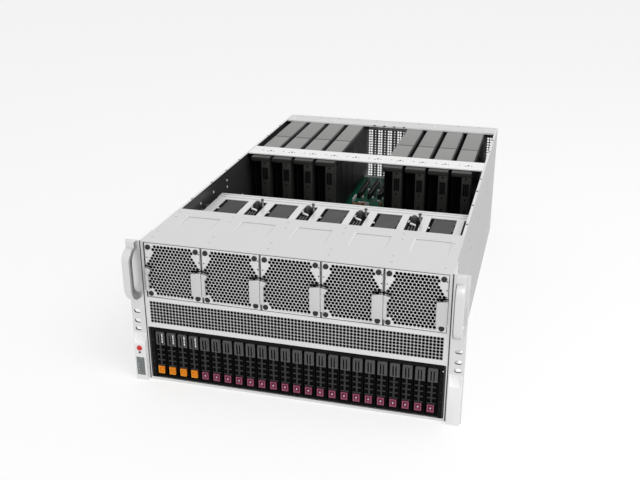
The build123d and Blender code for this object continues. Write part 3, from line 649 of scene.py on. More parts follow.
# Mid grey for pressed beads and edges: painted shade that draws them.
FLANGE_SHADE = Finish("pressed_bead_shade", grey(0.46), 0.5, 0.4, 0.04, 0.08, 900.0)
EAR_ALLOY = Finish("ear_metal", grey(0.74), 0.75, 0.32, 0.03, 0.08, 900.0, (1, 1, 0.3), 0.03)
BEZEL_WHITE = Finish("bezel_silver", grey(0.97), 0.1, 0.36, 0.015, 0.06, 900.0)
CAGE_BLACK = Finish("cage_paint", (0.035, 0.035, 0.036), 0.1, 0.5, 0.12, 0.12, 1200.0, specular=0.3)
CARRIER_BLACK = Finish(
    "carrier_plastic", (0.006, 0.006, 0.0065), 0.0, 0.6, 0.2, 0.12, 1500.0, dust=0.01, specular=0.08
)
BAR_GREY = Finish("carrier_bar", (0.030, 0.030, 0.031), 0.0, 0.5, 0.12, 0.12, 1500.0, specular=0.25)
LEVER_GREY = Finish(
    "lever_grey", (0.100, 0.100, 0.103), 0.1, 0.42, 0.10, 0.12, 1500.0, dust=0.05, specular=0.3
)
DEEP_BLACK = Finish("deep_black", grey(0.003), 0.0, 0.8, 0.3, 0.05, 900.0, dust=0.0, specular=0.05)
ORANGE = Finish("tab_orange", (0.86, 0.20, 0.003), 0.0, 0.5, 0.06, 0.08, 1500.0, specular=0.12)
ORANGE_MARK = Finish("tab_orange_mark", (0.95, 0.38, 0.03), 0.0, 0.5, 0.05, 0.08, 1500.0, specular=0.15)
PLUM = Finish("tab_plum", (0.13, 0.014, 0.038), 0.0, 0.5, 0.08, 0.08, 1500.0, specular=0.15)
PLUM_MARK = Finish("tab_plum_mark", (0.36, 0.10, 0.17), 0.0, 0.5, 0.05, 0.08, 1500.0, specular=0.2)
PALE_MARK = Finish("pale_mark", (0.88, 0.87, 0.87), 0.0, 0.4, 0.02, 0.05, 900.0)
RIVET_DARK = Finish(
    "rivet_dark", (0.030, 0.030, 0.032), 0.1, 0.45, 0.1, 0.1, 1500.0, dust=0.04, specular=0.25
)
ROTOR_BLACK = Finish("rotor_plastic", (0.006, 0.006, 0.007), 0.0, 0.55, 0.2, 0.1, 1200.0, specular=0.15)
DUCT_BLACK = Finish("duct_black", grey(0.005), 0.0, 0.7, 0.2, 0.1, 1200.0, specular=0.1)
LID_GREY = Finish("duct_lid_grey", (0.036, 0.036, 0.038), 0.1, 0.5, 0.06, 0.1, 1200.0, specular=0.3)
SEAM_GREY = Finish("seam_grey", grey(0.05), 0.1, 0.5, 0.06, 0.1, 1200.0, specular=0.3)
SHROUD_TOP = Finish("shroud_top", (0.265, 0.265, 0.26), 0.1, 0.48, 0.03, 0.08, 1100.0, specular=0.35)
SHROUD_SIDE = Finish("shroud_side", grey(0.008), 0.0, 0.5, 0.2, 0.12, 1200.0, specular=0.25)
BRACKET_GREY = Finish("bracket_grey", (0.034, 0.033, 0.031), 0.2, 0.5, 0.08, 0.1, 1200.0, specular=0.3)
# Lighter dark grey for the tops of the card caps: painted light.
CAP_LIT_GREY = Finish("cap_top_lit_grey", (0.042, 0.042, 0.041), 0.2, 0.45, 0.08, 0.1, 1200.0, specular=0.35)
BOARD_GREEN = Finish("board_mask", (0.003, 0.11, 0.058), 0.0, 0.4, 0.4, 0.15, 260.0, specular=0.35)
SLOT_BLACK = Finish("slot_black", grey(0.008), 0.0, 0.45, 0.2, 0.1, 1200.0, specular=0.3)
IVORY = Finish("latch_ivory", (0.50, 0.50, 0.48), 0.0, 0.45, 0.05, 0.08, 1200.0)
COPPER_BROWN = Finish("coil_brown", (0.42, 0.17, 0.05), 0.3, 0.45, 0.15, 0.1, 1200.0)
CHIP_GREY = Finish("chip_grey", grey(0.10), 0.2, 0.4, 0.1, 0.1, 1200.0)
BUTTON_RED = Finish("button_cap", (0.75, 0.008, 0.012), 0.0, 0.3, 0.04, 0.06, 1200.0)
DISPLAY_GREY = Finish("display_grey", (0.19, 0.205, 0.205), 0.1, 0.35, 0.05, 0.08, 1200.0)
GREEN_MARK = Finish("green_mark", (0.35, 0.62, 0.12), 0.0, 0.4, 0.05, 0.05, 900.0)
SUPPLY_CASE = Finish("supply_steel", (0.62, 0.62, 0.61), 0.85, 0.36, 0.04, 0.10, 700.0, (0.2, 1, 1), 0.03)
DRIVE_METAL = Finish("drive_metal", (0.30, 0.30, 0.31), 0.8, 0.4, 0.05, 0.10, 900.0, (1, 0.2, 1), 0.03)


def place(obj: Piece, body: str, slot: str, *nodes: str) -> None:
    """Hands a finished piece over to the body that carries it.

    Args:
        obj: The piece.
        body: Body that it moves with.
        slot: Not used.
        nodes: Nodes that it stands for.
    """
    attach(obj, body)
    if nodes:
        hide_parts(*nodes)


def fit(name: str, parts: Iterable[Piece], slot: str = "zinc_steel") -> None:
    """Joins small parts of the body into one piece and hands it over."""
    place(Bench.join(name, parts), "chassis", slot)


@dataclass
class Studio:
    """White studio: floor, world light, lamps and the camera at the photograph's angle."""

    camera_place: Point = (0.3172, -1.3874, 0.6871)
    camera_turn: Point = (67.569, 0.0685, 15.071)
    focal_px: float = 868.9
    frame_px: float = 640.0
    world_light: float = 0.60
    floor_half: float = 6.0
    floor_glow: float = 1.23
    floor_share: float = 0.50

    def build(self) -> None:
        """Builds the floor, the light and the camera."""
        scene = bpy.context.scene
        scene.view_settings.view_transform = "Standard"
        self._camera(scene)
        self._world(scene)
        self._floor()
        self._lamp("key_lamp", (1.3, -1.1, 2.3), 1.4, 25.0)
        self._lamp("fill_lamp", (1.8, -1.8, 1.6), 2.0, 5.0)

    def _camera(self, scene: bpy.types.Scene) -> None:
        """Adds the camera."""
        data = bpy.data.cameras.new("view_camera")
        data.sensor_width = 36.0
        data.lens = self.focal_px / self.frame_px * data.sensor_width
        data.clip_end = 50.0
        camera = bpy.data.objects.new("view_camera", data)
        camera.location = self.camera_place
        camera.rotation_euler = [math.radians(angle) for angle in self.camera_turn]
        scene.collection.objects.link(camera)
        scene.camera = camera

    def _world(self, scene: bpy.types.Scene) -> None:
        """Makes a white world that lights the object at a plain level."""
        world = bpy.data.worlds.new("studio_world")
        world.use_nodes = True
        scene.world = world
        tree = world.node_tree
        tree.nodes.clear()
        seen = Groups.add(tree, "Background", {"Color": WHITE})
        light = Groups.add(tree, "Background", {"Color": WHITE, "Strength": self.world_light})
        mix = Groups.add(
            tree, "MixShader", {0: self._seen_rays(tree), 1: light.outputs[0], 2: seen.outputs[0]}
        )
        Groups.add(tree, "OutputWorld", {"Surface": mix.outputs[0]})

    @staticmethod
    def _seen_rays(tree: Tree) -> Socket:
        """Adds up the rays that show the background: straight, mirrored and let through."""
        rays = tree.nodes.new("ShaderNodeLightPath").outputs
        total = rays["Is Camera Ray"]
        for kind in ("Is Glossy Ray", "Is Transmission Ray"):
            total = Groups.sum(tree, "MAXIMUM", total, rays[kind])
        return total

    def _floor(self) -> None:
        """Lays a pale floor that keeps a soft shadow."""
        floor = Bench.start("floor", "plane", size=2 * self.floor_half, location=(0, 0, -0.0005))
        paint = bpy.data.materials.new("floor_paper")
        paint.use_nodes = True
        tree = paint.node_tree
        surface = tree.nodes["Principled BSDF"]
        Groups.feed(tree, surface, {"Base Color": (0.86, 0.86, 0.86, 1), "Roughness": 0.9})
        glow = Groups.add(tree, "Emission", {"Color": WHITE, "Strength": self.floor_glow})
        share = Groups.sum(tree, "MULTIPLY", self._seen_rays(tree), self.floor_share)
        mix = Groups.add(tree, "MixShader", {0: share, 1: surface.outputs[0], 2: glow.outputs[0]})
        Groups.feed(tree, tree.nodes["Material Output"], {"Surface": mix.outputs[0]})
        floor.data.materials.append(paint)

    def _lamp(self, name: str, at: Point, size: float, power: float) -> None:
        """Adds a soft square lamp that looks at the object.

        Args:
            name: Its name.
            at: Its place in metres.
            size: Side of the square.
            power: Watts.
        """
        data = bpy.data.lights.new(name, "AREA")
        data.size = size
        data.energy = power
        lamp = bpy.data.objects.new(name, data)
        lamp.location = at
        lamp.rotation_euler = (Vector((0, 0, 0.1)) - Vector(at)).to_track_quat("-Z", "Y").to_euler()
        bpy.context.scene.collection.objects.link(lamp)


@dataclass
class ChassisShell:
    """Folded body: pan, walls, front cover and cross bar, with their screws and holes."""

    cover_screw_first: float = -122.4
    fan_pitch: float = 85.92
    recess_shift: float = 6.8
    recess_width: float = 50.0
    bar_front: float = 76.0
    bar_hole_first: float = -31.3
    card_pitch: float = 40.64
    inner: float = 216.9

    def build(self) -> None:
        """Dresses the body's nodes and adds the small parts."""
        ZINC.dress(NODES["base_pan"])
        COVER_ZINC.dress(NODES["front_cover"])
        BAR_WHITE.dress(NODES["mid_bar"])
        for side, name in ((-1, "left"), (1, "right")):
            wall = WALL_ZINC.dress(Bench.from_node(f"side_wall_{name}"))
            # Painted light on each wall: its inner faces behind the front get near-black painted shade, and
            # its top and front faces get a brighter finish as painted light.
            WALL_INSIDE_SHADE.dress_where(
                wall, lambda at, normal, side=side: normal.x * side < -0.5 and at.y > FRONT + 130
            )
            BRIGHT_ZINC.dress_where(wall, lambda at, normal: normal.z > 0.5 or normal.y < -0.5)
            place(wall, "chassis", "zinc_steel", f"side_wall_{name}")
        self._cover_screws()
        self._recess_shading_lines()
        self._bar_holes()
        # Dark strips just behind the front at the top and bottom of the fan row: painted shadow in the seams
        # between the cover, the modules and the grille.
        seam_shadows = [
            SHADE_GREY.block("seam_shadow_strip", (-214.6, FRONT + 0.5, low), (214.6, FRONT + 1.6, high), 0.2)
            for low, high in ((220.35, 221.35), (135.7, 137.2))
        ]
        fit("seam_shadow_strips", seam_shadows)
        self._wall_parts()

    def _cover_screws(self) -> None:
        """Sets the dark screws in the front cover."""
        screw = Bench.rod("cover_screw", (0, FRONT, TOP - 0.09), 1.6, 0.3, Axis.UP, 12)
        RIVET_DARK.dress(Bench.sink(screw, Side.TOP, 0.5, 0.12))
        places = [(206.5, 17.0), (207.5, 102.0)]
        for index in range(-1, 4):
            x = self.cover_screw_first + self.fan_pitch * index
            places += [(x, 18.7), (x - 1.8, 39.5), (x, 100.0), (x - 1.8, 120.8)]
        parts = [Bench.copy(screw, "cover_screw", x=x, y=y) for x, y in places if abs(x) < 212]
        bpy.data.objects.remove(screw)
        fit("cover_screws", parts)

    def _recess_shading_lines(self) -> None:
        """Adds the cover's recess outlines as painted light: painted highlights at left and back, painted
        shade behind the back and at right.
        """
        parts = []
        half = self.recess_width / 2
        for index in range(5):
            x = (index - 2) * self.fan_pitch + self.recess_shift
            for left, near, right, far, finish in (
                (-half - 2.4, 60.0, -half - 0.1, 108.6, PALE_MARK),
                (-half, 106.8, half, 108.6, PALE_MARK),
                (-half, 108.7, half, 109.4, FLANGE_SHADE),
                (half, 60.0, half + 0.9, 108.6, FLANGE_SHADE),
            ):
                low, high = (x + left, FRONT + near, TOP - 0.4), (x + right, FRONT + far, TOP + 0.06)
                edge = Bench.box("recess_shading_line", low, high)
                with Bench.editing(edge):
                    Bench.pick(edge, lambda at, _: at.y < FRONT + 61, Pick.VERT)
                    bpy.ops.transform.resize(value=(0.6, 1.0, 1.0))
                parts.append(finish.soft(edge, 0.15))
        fit("recess_shading_lines", parts)

    def _bar_holes(self) -> None:
        """Marks the hole groups of the cross bar."""
        parts = []
        for index in range(-5, 6):
            for shift, width, depth, y in (
                (0.0, 3.0, 2.0, 22.0),
                (11.5, 4.2, 2.0, 18.0),
                (16.0, 3.4, 5.0, 22.0),
                (21.5, 2.6, 2.2, 20.0),
            ):
                x = self.bar_hole_first + self.card_pitch * index + shift
                if abs(x) <= 208:
                    low = (x - width / 2, self.bar_front + y - depth / 2, TOP - 0.2)
                    high = (x + width / 2, self.bar_front + y + depth / 2, TOP + 0.08)
                    parts.append(DEEP_BLACK.block("bar_hole", low, high, 0.3))
        fit("cross_bar_holes", parts)

    def _wall_parts(self) -> None:
        """Adds screws on the walls and the notches along their top flanges."""
        parts = []
        for y, z in ((216, 202), (272, 203), (336, 203), (336, 191), (600, 206)):
            for side in (-1, 1):
                head = Bench.rod("wall_screw", (side * self.inner, FRONT + y, z), 2.0, 0.9, Axis.ACROSS, 12)
                parts.append(PALE_MARK.soft(head, 0.3, 2))
        for side in (-1, 1):
            for y in (178, 262, 330, 395, 560, 640):
                low = (side * 216.5 - 1.3, FRONT + y, TOP - 0.3)
                high = (side * 216.5 + 1.3, FRONT + y + 5.5, TOP + 0.08)
                parts.append(DEEP_BLACK.block("flange_notch", low, high, 0.3))
        for side in (-1, 1):
            for y in (60, 150, 330, 470, 610, 690):
                head = Bench.rod("side_screw", (side * 218.6, FRONT + y, 30), 2.2, 0.7, Axis.ACROSS, 12)
                parts.append(TAB_STEEL.soft(head, 0.25, 2))
            for y, z in ((70, 196), (70, 206), (205, 188), (330, 180), (520, 176)):
                dot = Bench.rod("side_dot", (side * 218.5, FRONT + y, z), 1.3, 0.3, Axis.ACROSS, 10)
                parts.append(SHADE_GREY.soft(dot, 0.1))
        fit("wall_fasteners", parts)


@dataclass
class IntakeGrille:
    """Perforated band under the fans, with the shelf that the modules stand on."""

    half_width: float = 214.8
    low: float = 88.05
    high: float = 136.3
    pitch: float = 4.93
    hole: float = 2.3
    columns: int = 86
    rows: int = 7
    first_row: float = 97.9
    sheet: float = 1.2

    def build(self) -> None:
        """Builds the band, its frame and the shelf."""
        cell = Bench.holed_cell("grille", 4, self.pitch, self.hole, self.sheet, (0, FRONT, self.first_row))
        half = (self.columns - 1) / 2
        spots = [
            ((i - half) * self.pitch, j * self.pitch) for i in range(self.columns) for j in range(self.rows)
        ]
        band = GRILLE_STEEL.dress(Bench.scatter("grille_band", cell, spots))
        # The hole walls get painted shade.
        HOLE_SHADE.dress_where(band, lambda at, normal: abs(normal.y) < 0.5)
        low, high = (-217.2, FRONT + self.sheet, self.high - self.sheet), (217.2, FRONT + 133.2, self.high)
        shelf = GUARD_STEEL.block("grille_shelf", low, high, 0.2)
        # Faces of the shelf behind the sheet are near-black: painted shade seen through the holes.
        DEEP_BLACK.dress_where(shelf, lambda at, normal: normal.z < 0.5 and at.y > FRONT + self.sheet + 0.5)
        whole = Bench.join("intake_grille", [band, self._rim(), shelf])
        place(whole, "chassis", "zinc_steel", "front_grille")

    def _rim(self) -> Piece:
        """Makes the frame round the holes."""
        wide = self.columns * self.pitch / 2
        bottom = self.first_row - self.pitch / 2
        top = bottom + self.rows * self.pitch
        margin = self.half_width - wide
        rim = Bench.sheet("grille_rim", (-self.half_width, self.low), (self.half_width, self.high))
        with Bench.editing(rim, whole=True):
            bpy.ops.mesh.inset(thickness=margin * MM)
        for edge, goal in ((self.low + margin, bottom), (self.high - margin, top)):
            at_edge: Test = lambda at, _, edge=edge: abs(at.z - edge) < 0.1 and abs(at.x) < wide + 0.1
            Bench.drag(rim, at_edge, z=goal - edge)
        with Bench.editing(rim):
            Bench.pick(rim, lambda at, _: abs(at.x) < 1 and bottom < at.z < top)
            bpy.ops.mesh.delete(type="FACE")
            Bench.pick(rim, lambda at, _: min(abs(at.z - self.low), abs(at.z - self.high)) < 0.1, Pick.EDGE)
            Bench.extrude(self.sheet)
        return GUARD_STEEL.dress(rim)


@dataclass
class FanModules:
    """Five swap fan modules: clipped faceplate, honeycomb guard, rivets, pull tabs and duct."""

    count: int = 5
    pitch: float = 85.92
    half_width: float = 42.66
    plate_left: float = -40.6
    plate_right: float = 42.2
    low: float = 136.6
    high: float = 221.0
    plate_gap: float = 0.7
    rim: float = 2.9
    upper_clip: float = 10.8
    upper_drop: float = 19.4
    lower_clip: float = 12.0
    pan: float = 1.6
    hole_pitch: float = 5.23
    hole: float = 2.35
    top_row: float = 215.0
    bottom_row: float = 142.6
    length: float = 132.0
    tab_low: float = 147.6
    tab_high: float = 182.0
    tab_front: float = FRONT - 3.9

    def build(self) -> None:
        """Builds one module and copies it into the five bays."""
        parts = [
            self._faceplate(), self._guard(), self._duct(), self._edge_strip(), *self._rivets(), *self._tabs(
                
            )
        ]
        module = Bench.join("fan_module_body", parts)
        for index in range(self.count):
            node = f"fan_module_{index + 1}"
            twin = Bench.copy(module, f"{node}_dressed", x=(index - (self.count - 1) / 2) * self.pitch)
            place(twin, node, "fan_frame", node)
            ROTOR_BLACK.dress(NODES[f"fan_rotor_{index + 1}"])
        bpy.data.objects.remove(module)

    def _window_half(self, z: float) -> float:
        """Half width of the clipped window at a height."""
        side = self.half_width - self.rim
        bottom = self.low + self.rim + self.lower_clip
        clip_height = self.upper_clip + self.upper_drop
        clip_start = self.high - self.rim - clip_height
        if z > clip_start:
            return side - self.upper_clip * (z - clip_start) / clip_height
        return side - max(0.0, bottom - z)

    def _faceplate(self) -> Piece:
        """Makes the plate with its clipped window and short side walls."""
        plate = Bench.sheet("faceplate", (-self.half_width, self.low), (self.half_width, self.high))
        middle = (self.low + self.high) / 2
        inner = self.half_width - self.rim + 0.1
        with Bench.editing(plate, whole=True):
            bpy.ops.mesh.inset(thickness=self.rim * MM)
            Bench.pick(plate, lambda at, _: abs(at.x) < inner and middle < at.z, Pick.VERT)
            bpy.ops.mesh.bevel(offset=self.upper_clip * MM, affect="VERTICES")
        side_z = self.high - self.rim - self.upper_clip
        Bench.drag(plate, lambda at, _: abs(at.z - side_z) < 0.2 and abs(at.x) < inner, z=-self.upper_drop)
        corner_z = self.low + self.rim
        with Bench.editing(plate):
            Bench.pick(plate, lambda at, _: abs(at.z - corner_z) < 0.2 and abs(at.x) < inner, Pick.VERT)
            bpy.ops.mesh.bevel(offset=self.lower_clip * MM, affect="VERTICES")
            Bench.pick(plate, lambda at, _: abs(at.x) < 1 and abs(at.z - middle) < 12)
            Bench.extrude(self.pan)
            bpy.ops.mesh.delete(type="FACE")
        Bench.drag(plate, lambda at, _: at.x < 0.1 - self.half_width, x=self.plate_left + self.half_width)
        Bench.drag(plate, lambda at, _: at.x > self.half_width - 0.1, x=self.plate_right - self.half_width)
        Bench.drag(plate, lambda at, _: at.z < self.low + 0.1, z=self.plate_gap)
        Bench.drag(plate, lambda at, _: at.z > self.high - 0.1, z=-self.plate_gap)
        low, high = self.low + self.plate_gap + 0.1, self.high - self.plate_gap - 0.1
        left, right = self.plate_left + 0.1, self.plate_right - 0.1
        with Bench.editing(plate):
            Bench.pick(plate, lambda at, _: not (left < at.x < right and low < at.z < high), Pick.EDGE)
            Bench.extrude(6.0)
        return GUARD_STEEL.soft(plate, 0.25, 2)

    def _guard(self) -> Piece:
        """Makes the honeycomb sheet: holed cells in the window and plain cells round them."""
        row_pitch = self.hole_pitch * math.sqrt(3) / 2
        rows = round((self.top_row - self.bottom_row) / row_pitch)
        holed, plain = [], []
        for row in range(-1, rows + 2):
            z = self.top_row - row * row_pitch
            reach = self._window_half(z) - 2.0
            for column in range(-8, 9):
                x = (column + (row % 2) / 2) * self.hole_pitch
                if -40.5 < x < 41.0 and self.low + 1 < z < self.high - 1:
                    inside = abs(x) < reach and self.bottom_row - 1 < z < self.top_row + 1
                    (holed if inside else plain).append((x, z - self.top_row))
        centre = (0.0, FRONT + self.pan - 0.1, self.top_row)
        cell = Bench.holed_cell("guard", 6, self.hole_pitch, self.hole, 1.0, centre)
        sheet = GUARD_MESH.dress(Bench.scatter("guard_holes", cell, holed))
        # The hole walls get painted shade.
        HOLE_SHADE.dress_where(sheet, lambda at, normal: abs(normal.y) < 0.5)
        outline = {"vertices": 6, "radius": self.hole_pitch / math.sqrt(3) * MM, "fill_type": "NGON"}
        at = [value * MM for value in centre]
        blank = Bench.start("guard_blank", "circle", location=at, rotation=Axis.DEPTH.value, **outline)
        blanks = GUARD_STEEL.dress(Bench.scatter("guard_blanks", blank, plain))
        return Bench.join("guard_sheet", [sheet, blanks])

    def _edge_strip(self) -> Piece:
        """Makes the folded edge that stands back between two faceplates, dark grey as painted shade."""
        low = (self.plate_right + 0.5 - self.pitch, FRONT + 1.2, self.low + 0.8)
        strip = Bench.box("edge_strip", low, (self.plate_left - 0.4, FRONT + 7.0, self.high - 0.8))
        Bench.drag(strip, lambda at, _: at.x < -self.half_width, x=0.9)
        return GREY_AND_SHADE.soft(strip, 0.3, 2)

    def _duct(self) -> Piece:
        """Makes the fan's duct behind the guard, with two ribs and a dark stator plate across it."""
        made = []
        half = self.half_width
        for name, inset, near, far, wall in (
            ("duct", 1.0, 6.2, self.length, 2.4),
            ("duct_rib", 0.5, 46.0, 49.0, 3.0),
            ("duct_rib", 0.5, 88.0, 91.0, 3.0),
        ):
            low = (inset - half, FRONT + near, self.low + inset)
            made.append(Bench.box(name, low, (half - inset, FRONT + far, self.high - inset)))
            Bench.pierce(made[-1], wall)
            DUCT_BLACK.dress(made[-1])
        stator = Bench.rod("stator", (0, FRONT + 45, (self.low + self.high) / 2), 39.2, 4.0, Axis.DEPTH, 40)
        Bench.sink(stator, Side.FRONT, 22.0, 1.5)
        return Bench.join("duct", [*made, DEEP_BLACK.soft(stator, 0.4, 2)])

    def _rivets(self) -> list[Piece]:
        """Makes the four dark corner rivets and the small dots beside them."""
        made = []
        for side in (-1, 1):
            for z in (142.6, 214.2):
                rivet = Bench.rod("rivet", (side * 35.75, FRONT - 0.5, z), 3.9, 1.2, Axis.DEPTH, 24)
                made.append(RIVET_DARK.soft(Bench.sink(rivet, Side.FRONT, 1.3, -0.25), 0.35, 2))
            for z in (211.0, 198.5, 189.0):
                dot = Bench.rod("plate_dot", (0.9 + side * 39.2, FRONT, z), 1.0, 0.3, Axis.DEPTH, 10)
                made.append(RIVET_DARK.soft(dot, 0.1))
        return made

    def _tabs(self) -> list[Piece]:
        """Makes the folded pull tabs at both sides, with near-black strips over them as painted shadow in the
        gaps.
        """
        out, low, high = self.tab_front, self.tab_low, self.tab_high
        right = Bench.box("tab_right", (28.0, out, low), (43.0, out + 1.1, high))
        Bench.drag(right, lambda at, _: at.x > 42 and at.z > high - 1, z=2.2)
        left = Bench.box("tab_left", (-42.2, out + 0.1, 173.5), (-32.6, out + 1.2, 183.6))
        Bench.drag(left, lambda at, _: at.x > -35 and at.z < 174, x=-4.6)
        Bench.drag(left, lambda at, _: at.x > -35 and at.z > 180, z=-2.0)
        tabs = [
            TAB_STEEL.soft(right, 0.4, 2),
            TAB_STEEL.block("tab_flange", (41.4, out + 0.8, low), (42.4, FRONT + 0.2, high + 1.8), 0.2),
            TAB_STEEL.soft(left, 0.35, 2),
            TAB_STEEL.block("tab_strip", (-42.2, out + 0.1, low), (-37.3, out + 1.2, 173.6), 0.35, 2),
            TAB_STEEL.block("tab_stem", (-40.5, out + 1.0, low), (-39.5, FRONT + 0.2, high), 0.2),
            # The tab's folded side in darker grey: painted shade.
            GREY_AND_SHADE.block("tab_fold", (-43.2, out + 0.9, low + 1), (-41.7, out + 1.9, high), 0.2),
        ]
        # Near-black strips over the tabs: painted shadow.
        for name, first, last, z, lift in (
            ("tab_shadow_right", 26.8, 43.0, 183.0, 2.4),
            ("tab_shadow_left", -42.6, -31.6, 185.2, -2.8),
        ):
            gap = Bench.box(name, (first, FRONT - 0.6, z), (last, FRONT + 0.3, z + 1.9))
            middle = (first + last) / 2
            Bench.drag(gap, lambda at, _, middle=middle: at.x > middle, z=lift)
            tabs.append(DEEP_BLACK.soft(gap, 0.2))
        return tabs


@dataclass
class DriveBay:
    """Twenty-four drive carriers in their black cage."""

    count: int = 24
    pitch: float = 17.4
    half_width: float = 7.75
    low: float = 6.0
    high: float = 81.7
    orange_count: int = 4
    face: float = FRONT + 1.6

    def build(self) -> None:
        """Dresses the cage and builds the carriers."""
        cage = CAGE_BLACK.dress(Bench.from_node("drive_cage"))
        CARRIER_BLACK.dress_where(cage, lambda at, normal: at.z < self.high + 0.8)
        place(cage, "chassis", "cage_black", "drive_cage")
        self._trim()
        marked = self._carrier(ORANGE, ORANGE_MARK, True)
        plain = self._carrier(PLUM, PLUM_MARK, False)
        for index in range(self.count):
            model = marked if index < self.orange_count else plain
            x = (index - (self.count - 1) / 2) * self.pitch
            node = f"drive_carrier_{index + 1:02d}"
            place(Bench.copy(model, f"carrier_{index + 1:02d}", x=x), node, "carrier_black", node)
        for model in (marked, plain):
            bpy.data.objects.remove(model)

    def _trim(self) -> None:
        """Adds the black edge trims beside the cage, their small marks and the status light."""
        parts = []
        for side in (-1, 1):
            x = side * 215.9
            low, high = (x - 1.3, FRONT - 0.2, 4.4), (x + 1.3, FRONT + 0.6, 87.6)
            parts.append(CAGE_BLACK.block("cage_trim", low, high, 0.2))
            x = side * 212
            for z in (18.0, 30.0, 44.0, 66.0):
                low, high = (x - 0.4, FRONT - 0.12, z), (x + 0.5, FRONT + 0.1, z + 0.9)
                parts.append(CHIP_GREY.block("trim_mark", low, high, 0.08))
        lamp = Bench.rod("status_light", (213.4, FRONT - 0.1, 78.5), 0.9, 0.4, Axis.DEPTH, 12)
        parts.append(PALE_MARK.soft(lamp, 0.12))
        fit("cage_trim", parts, "cage_black")

    def _carrier(self, tab: Finish, mark: Finish, light_pipe: bool) -> Piece:
        """Builds one carrier.

        Args:
            tab: Finish of its colour tab.
            mark: Finish of the tab's rim and mark.
            light_pipe: Whether the lever has the pale light strip.

        Returns:
            The carrier, in the middle of the bay.
        """
        half, face = self.half_width, self.face
        bezel = Bench.box("bezel", (-half, face, self.low), (half, FRONT + 14, self.high))
        drive = Bench.box(
            "drive", (-7.15, FRONT + 14, self.low + 2.4), (7.15, FRONT + 112, self.high - 2.4)
        )
        for side in (Side.LEFT, Side.RIGHT):
            Bench.sink(drive, side, 4.0, 0.5)
        parts = [
            CARRIER_BLACK.soft(Bench.sink(bezel, Side.FRONT, 1.1, 1.6), 0.25, 2),
            DEEP_BLACK.block("field", (-6.6, face + 1.5, 7.5), (6.6, face + 1.9, 80), 0.1),
            DRIVE_METAL.soft(drive, 0.4, 2),
            BAR_GREY.block("spine", (-2.3, face - 0.2, 23.5), (0.3, face + 1.7, 60), 0.3, 2),
        ]
        for z in (24.8, 33.4, 42.0, 50.6):
            parts.append(
                BAR_GREY.block("bar", (-6.9, face - 0.1, z - 1.0), (4.9, face + 1.7, z + 1.0), 0.4, 2)
            )
        parts += self._lever(light_pipe)
        key = Bench.sink(
            Bench.box("tab", (-6.2, FRONT + 0.2, 11.4), (3.3, face + 1.7, 23.2)), Side.FRONT, 1.5, 0.3
        )
        mark.dress(key)
        tab.dress_where(key, lambda at, normal: at.y > FRONT + 0.4 or normal.y > -0.9)
        parts.append(Bench.soften(key, 0.15))
        for left, low, right, high, finish in (
            (-1.0, 15.6, 0.2, 20.4, mark),
            (-3.9, 13.6, 0.2, 14.6, mark),
            (-2.4, 16.4, -0.6, 18.6, ORANGE_MARK if light_pipe else PALE_MARK),
        ):
            parts.append(
                finish.block("tab_mark", (left, FRONT + 0.15, low), (right, FRONT + 0.7, high), 0.15)
            )
        return Bench.join("carrier", parts)

    def _lever(self, light_pipe: bool) -> list[Piece]:
        """Makes the latch lever with its ridges.

        Args:
            light_pipe: Whether it has the pale light strip.

        Returns:
            The pieces.
        """
        lever = Bench.box("lever", (-7.2, FRONT + 0.1, 58.5), (6.4, FRONT + 3.4, 81.2))
        Bench.drag(lever, lambda at, _: at.z > 80 and at.y < FRONT + 1, y=1.2, z=-1.4)
        Bench.drag(lever, lambda at, _: at.z < 59 and at.y < FRONT + 1, y=1.3)
        with Bench.editing(lever):
            Bench.pick(lever, lambda at, along: abs(along.y) > 0.5 and at.z > 79 and at.x < 0, Pick.EDGE)
            bpy.ops.mesh.bevel(offset=2.2 * MM, segments=3)
        made = [LEVER_GREY.soft(lever, 0.4, 2)]
        BAR_GREY.dress_where(lever, lambda at, normal: at.z < 62)
        for x in (-4.6, -0.5, 3.6):
            ridge = Bench.box("ridge", (x - 1.0, FRONT - 0.35, 62.0), (x + 1.0, FRONT + 1.6, 77.0))
            Bench.drag(ridge, lambda at, _: at.z < 63 and at.y < FRONT, y=0.9)
            made.append(LEVER_GREY.soft(ridge, 0.4, 2))
        # Near-black grooves between the ridges: painted shade.
        for x in (-2.6, 1.5):
            low, high = (x - 0.45, FRONT - 0.02, 60.5), (x + 0.45, FRONT + 1.8, 75.5)
            made.append(DEEP_BLACK.block("lever_groove", low, high, 0.15))
        for low, high in ((63.5, 67.0), (68.0, 71.5), (72.5, 78.0)) if light_pipe else ():
            made.append(
                PALE_MARK.block("light_pipe", (2.5, FRONT - 0.55, low), (4.3, FRONT + 1.0, high), 0.3, 2)
            )
        return made


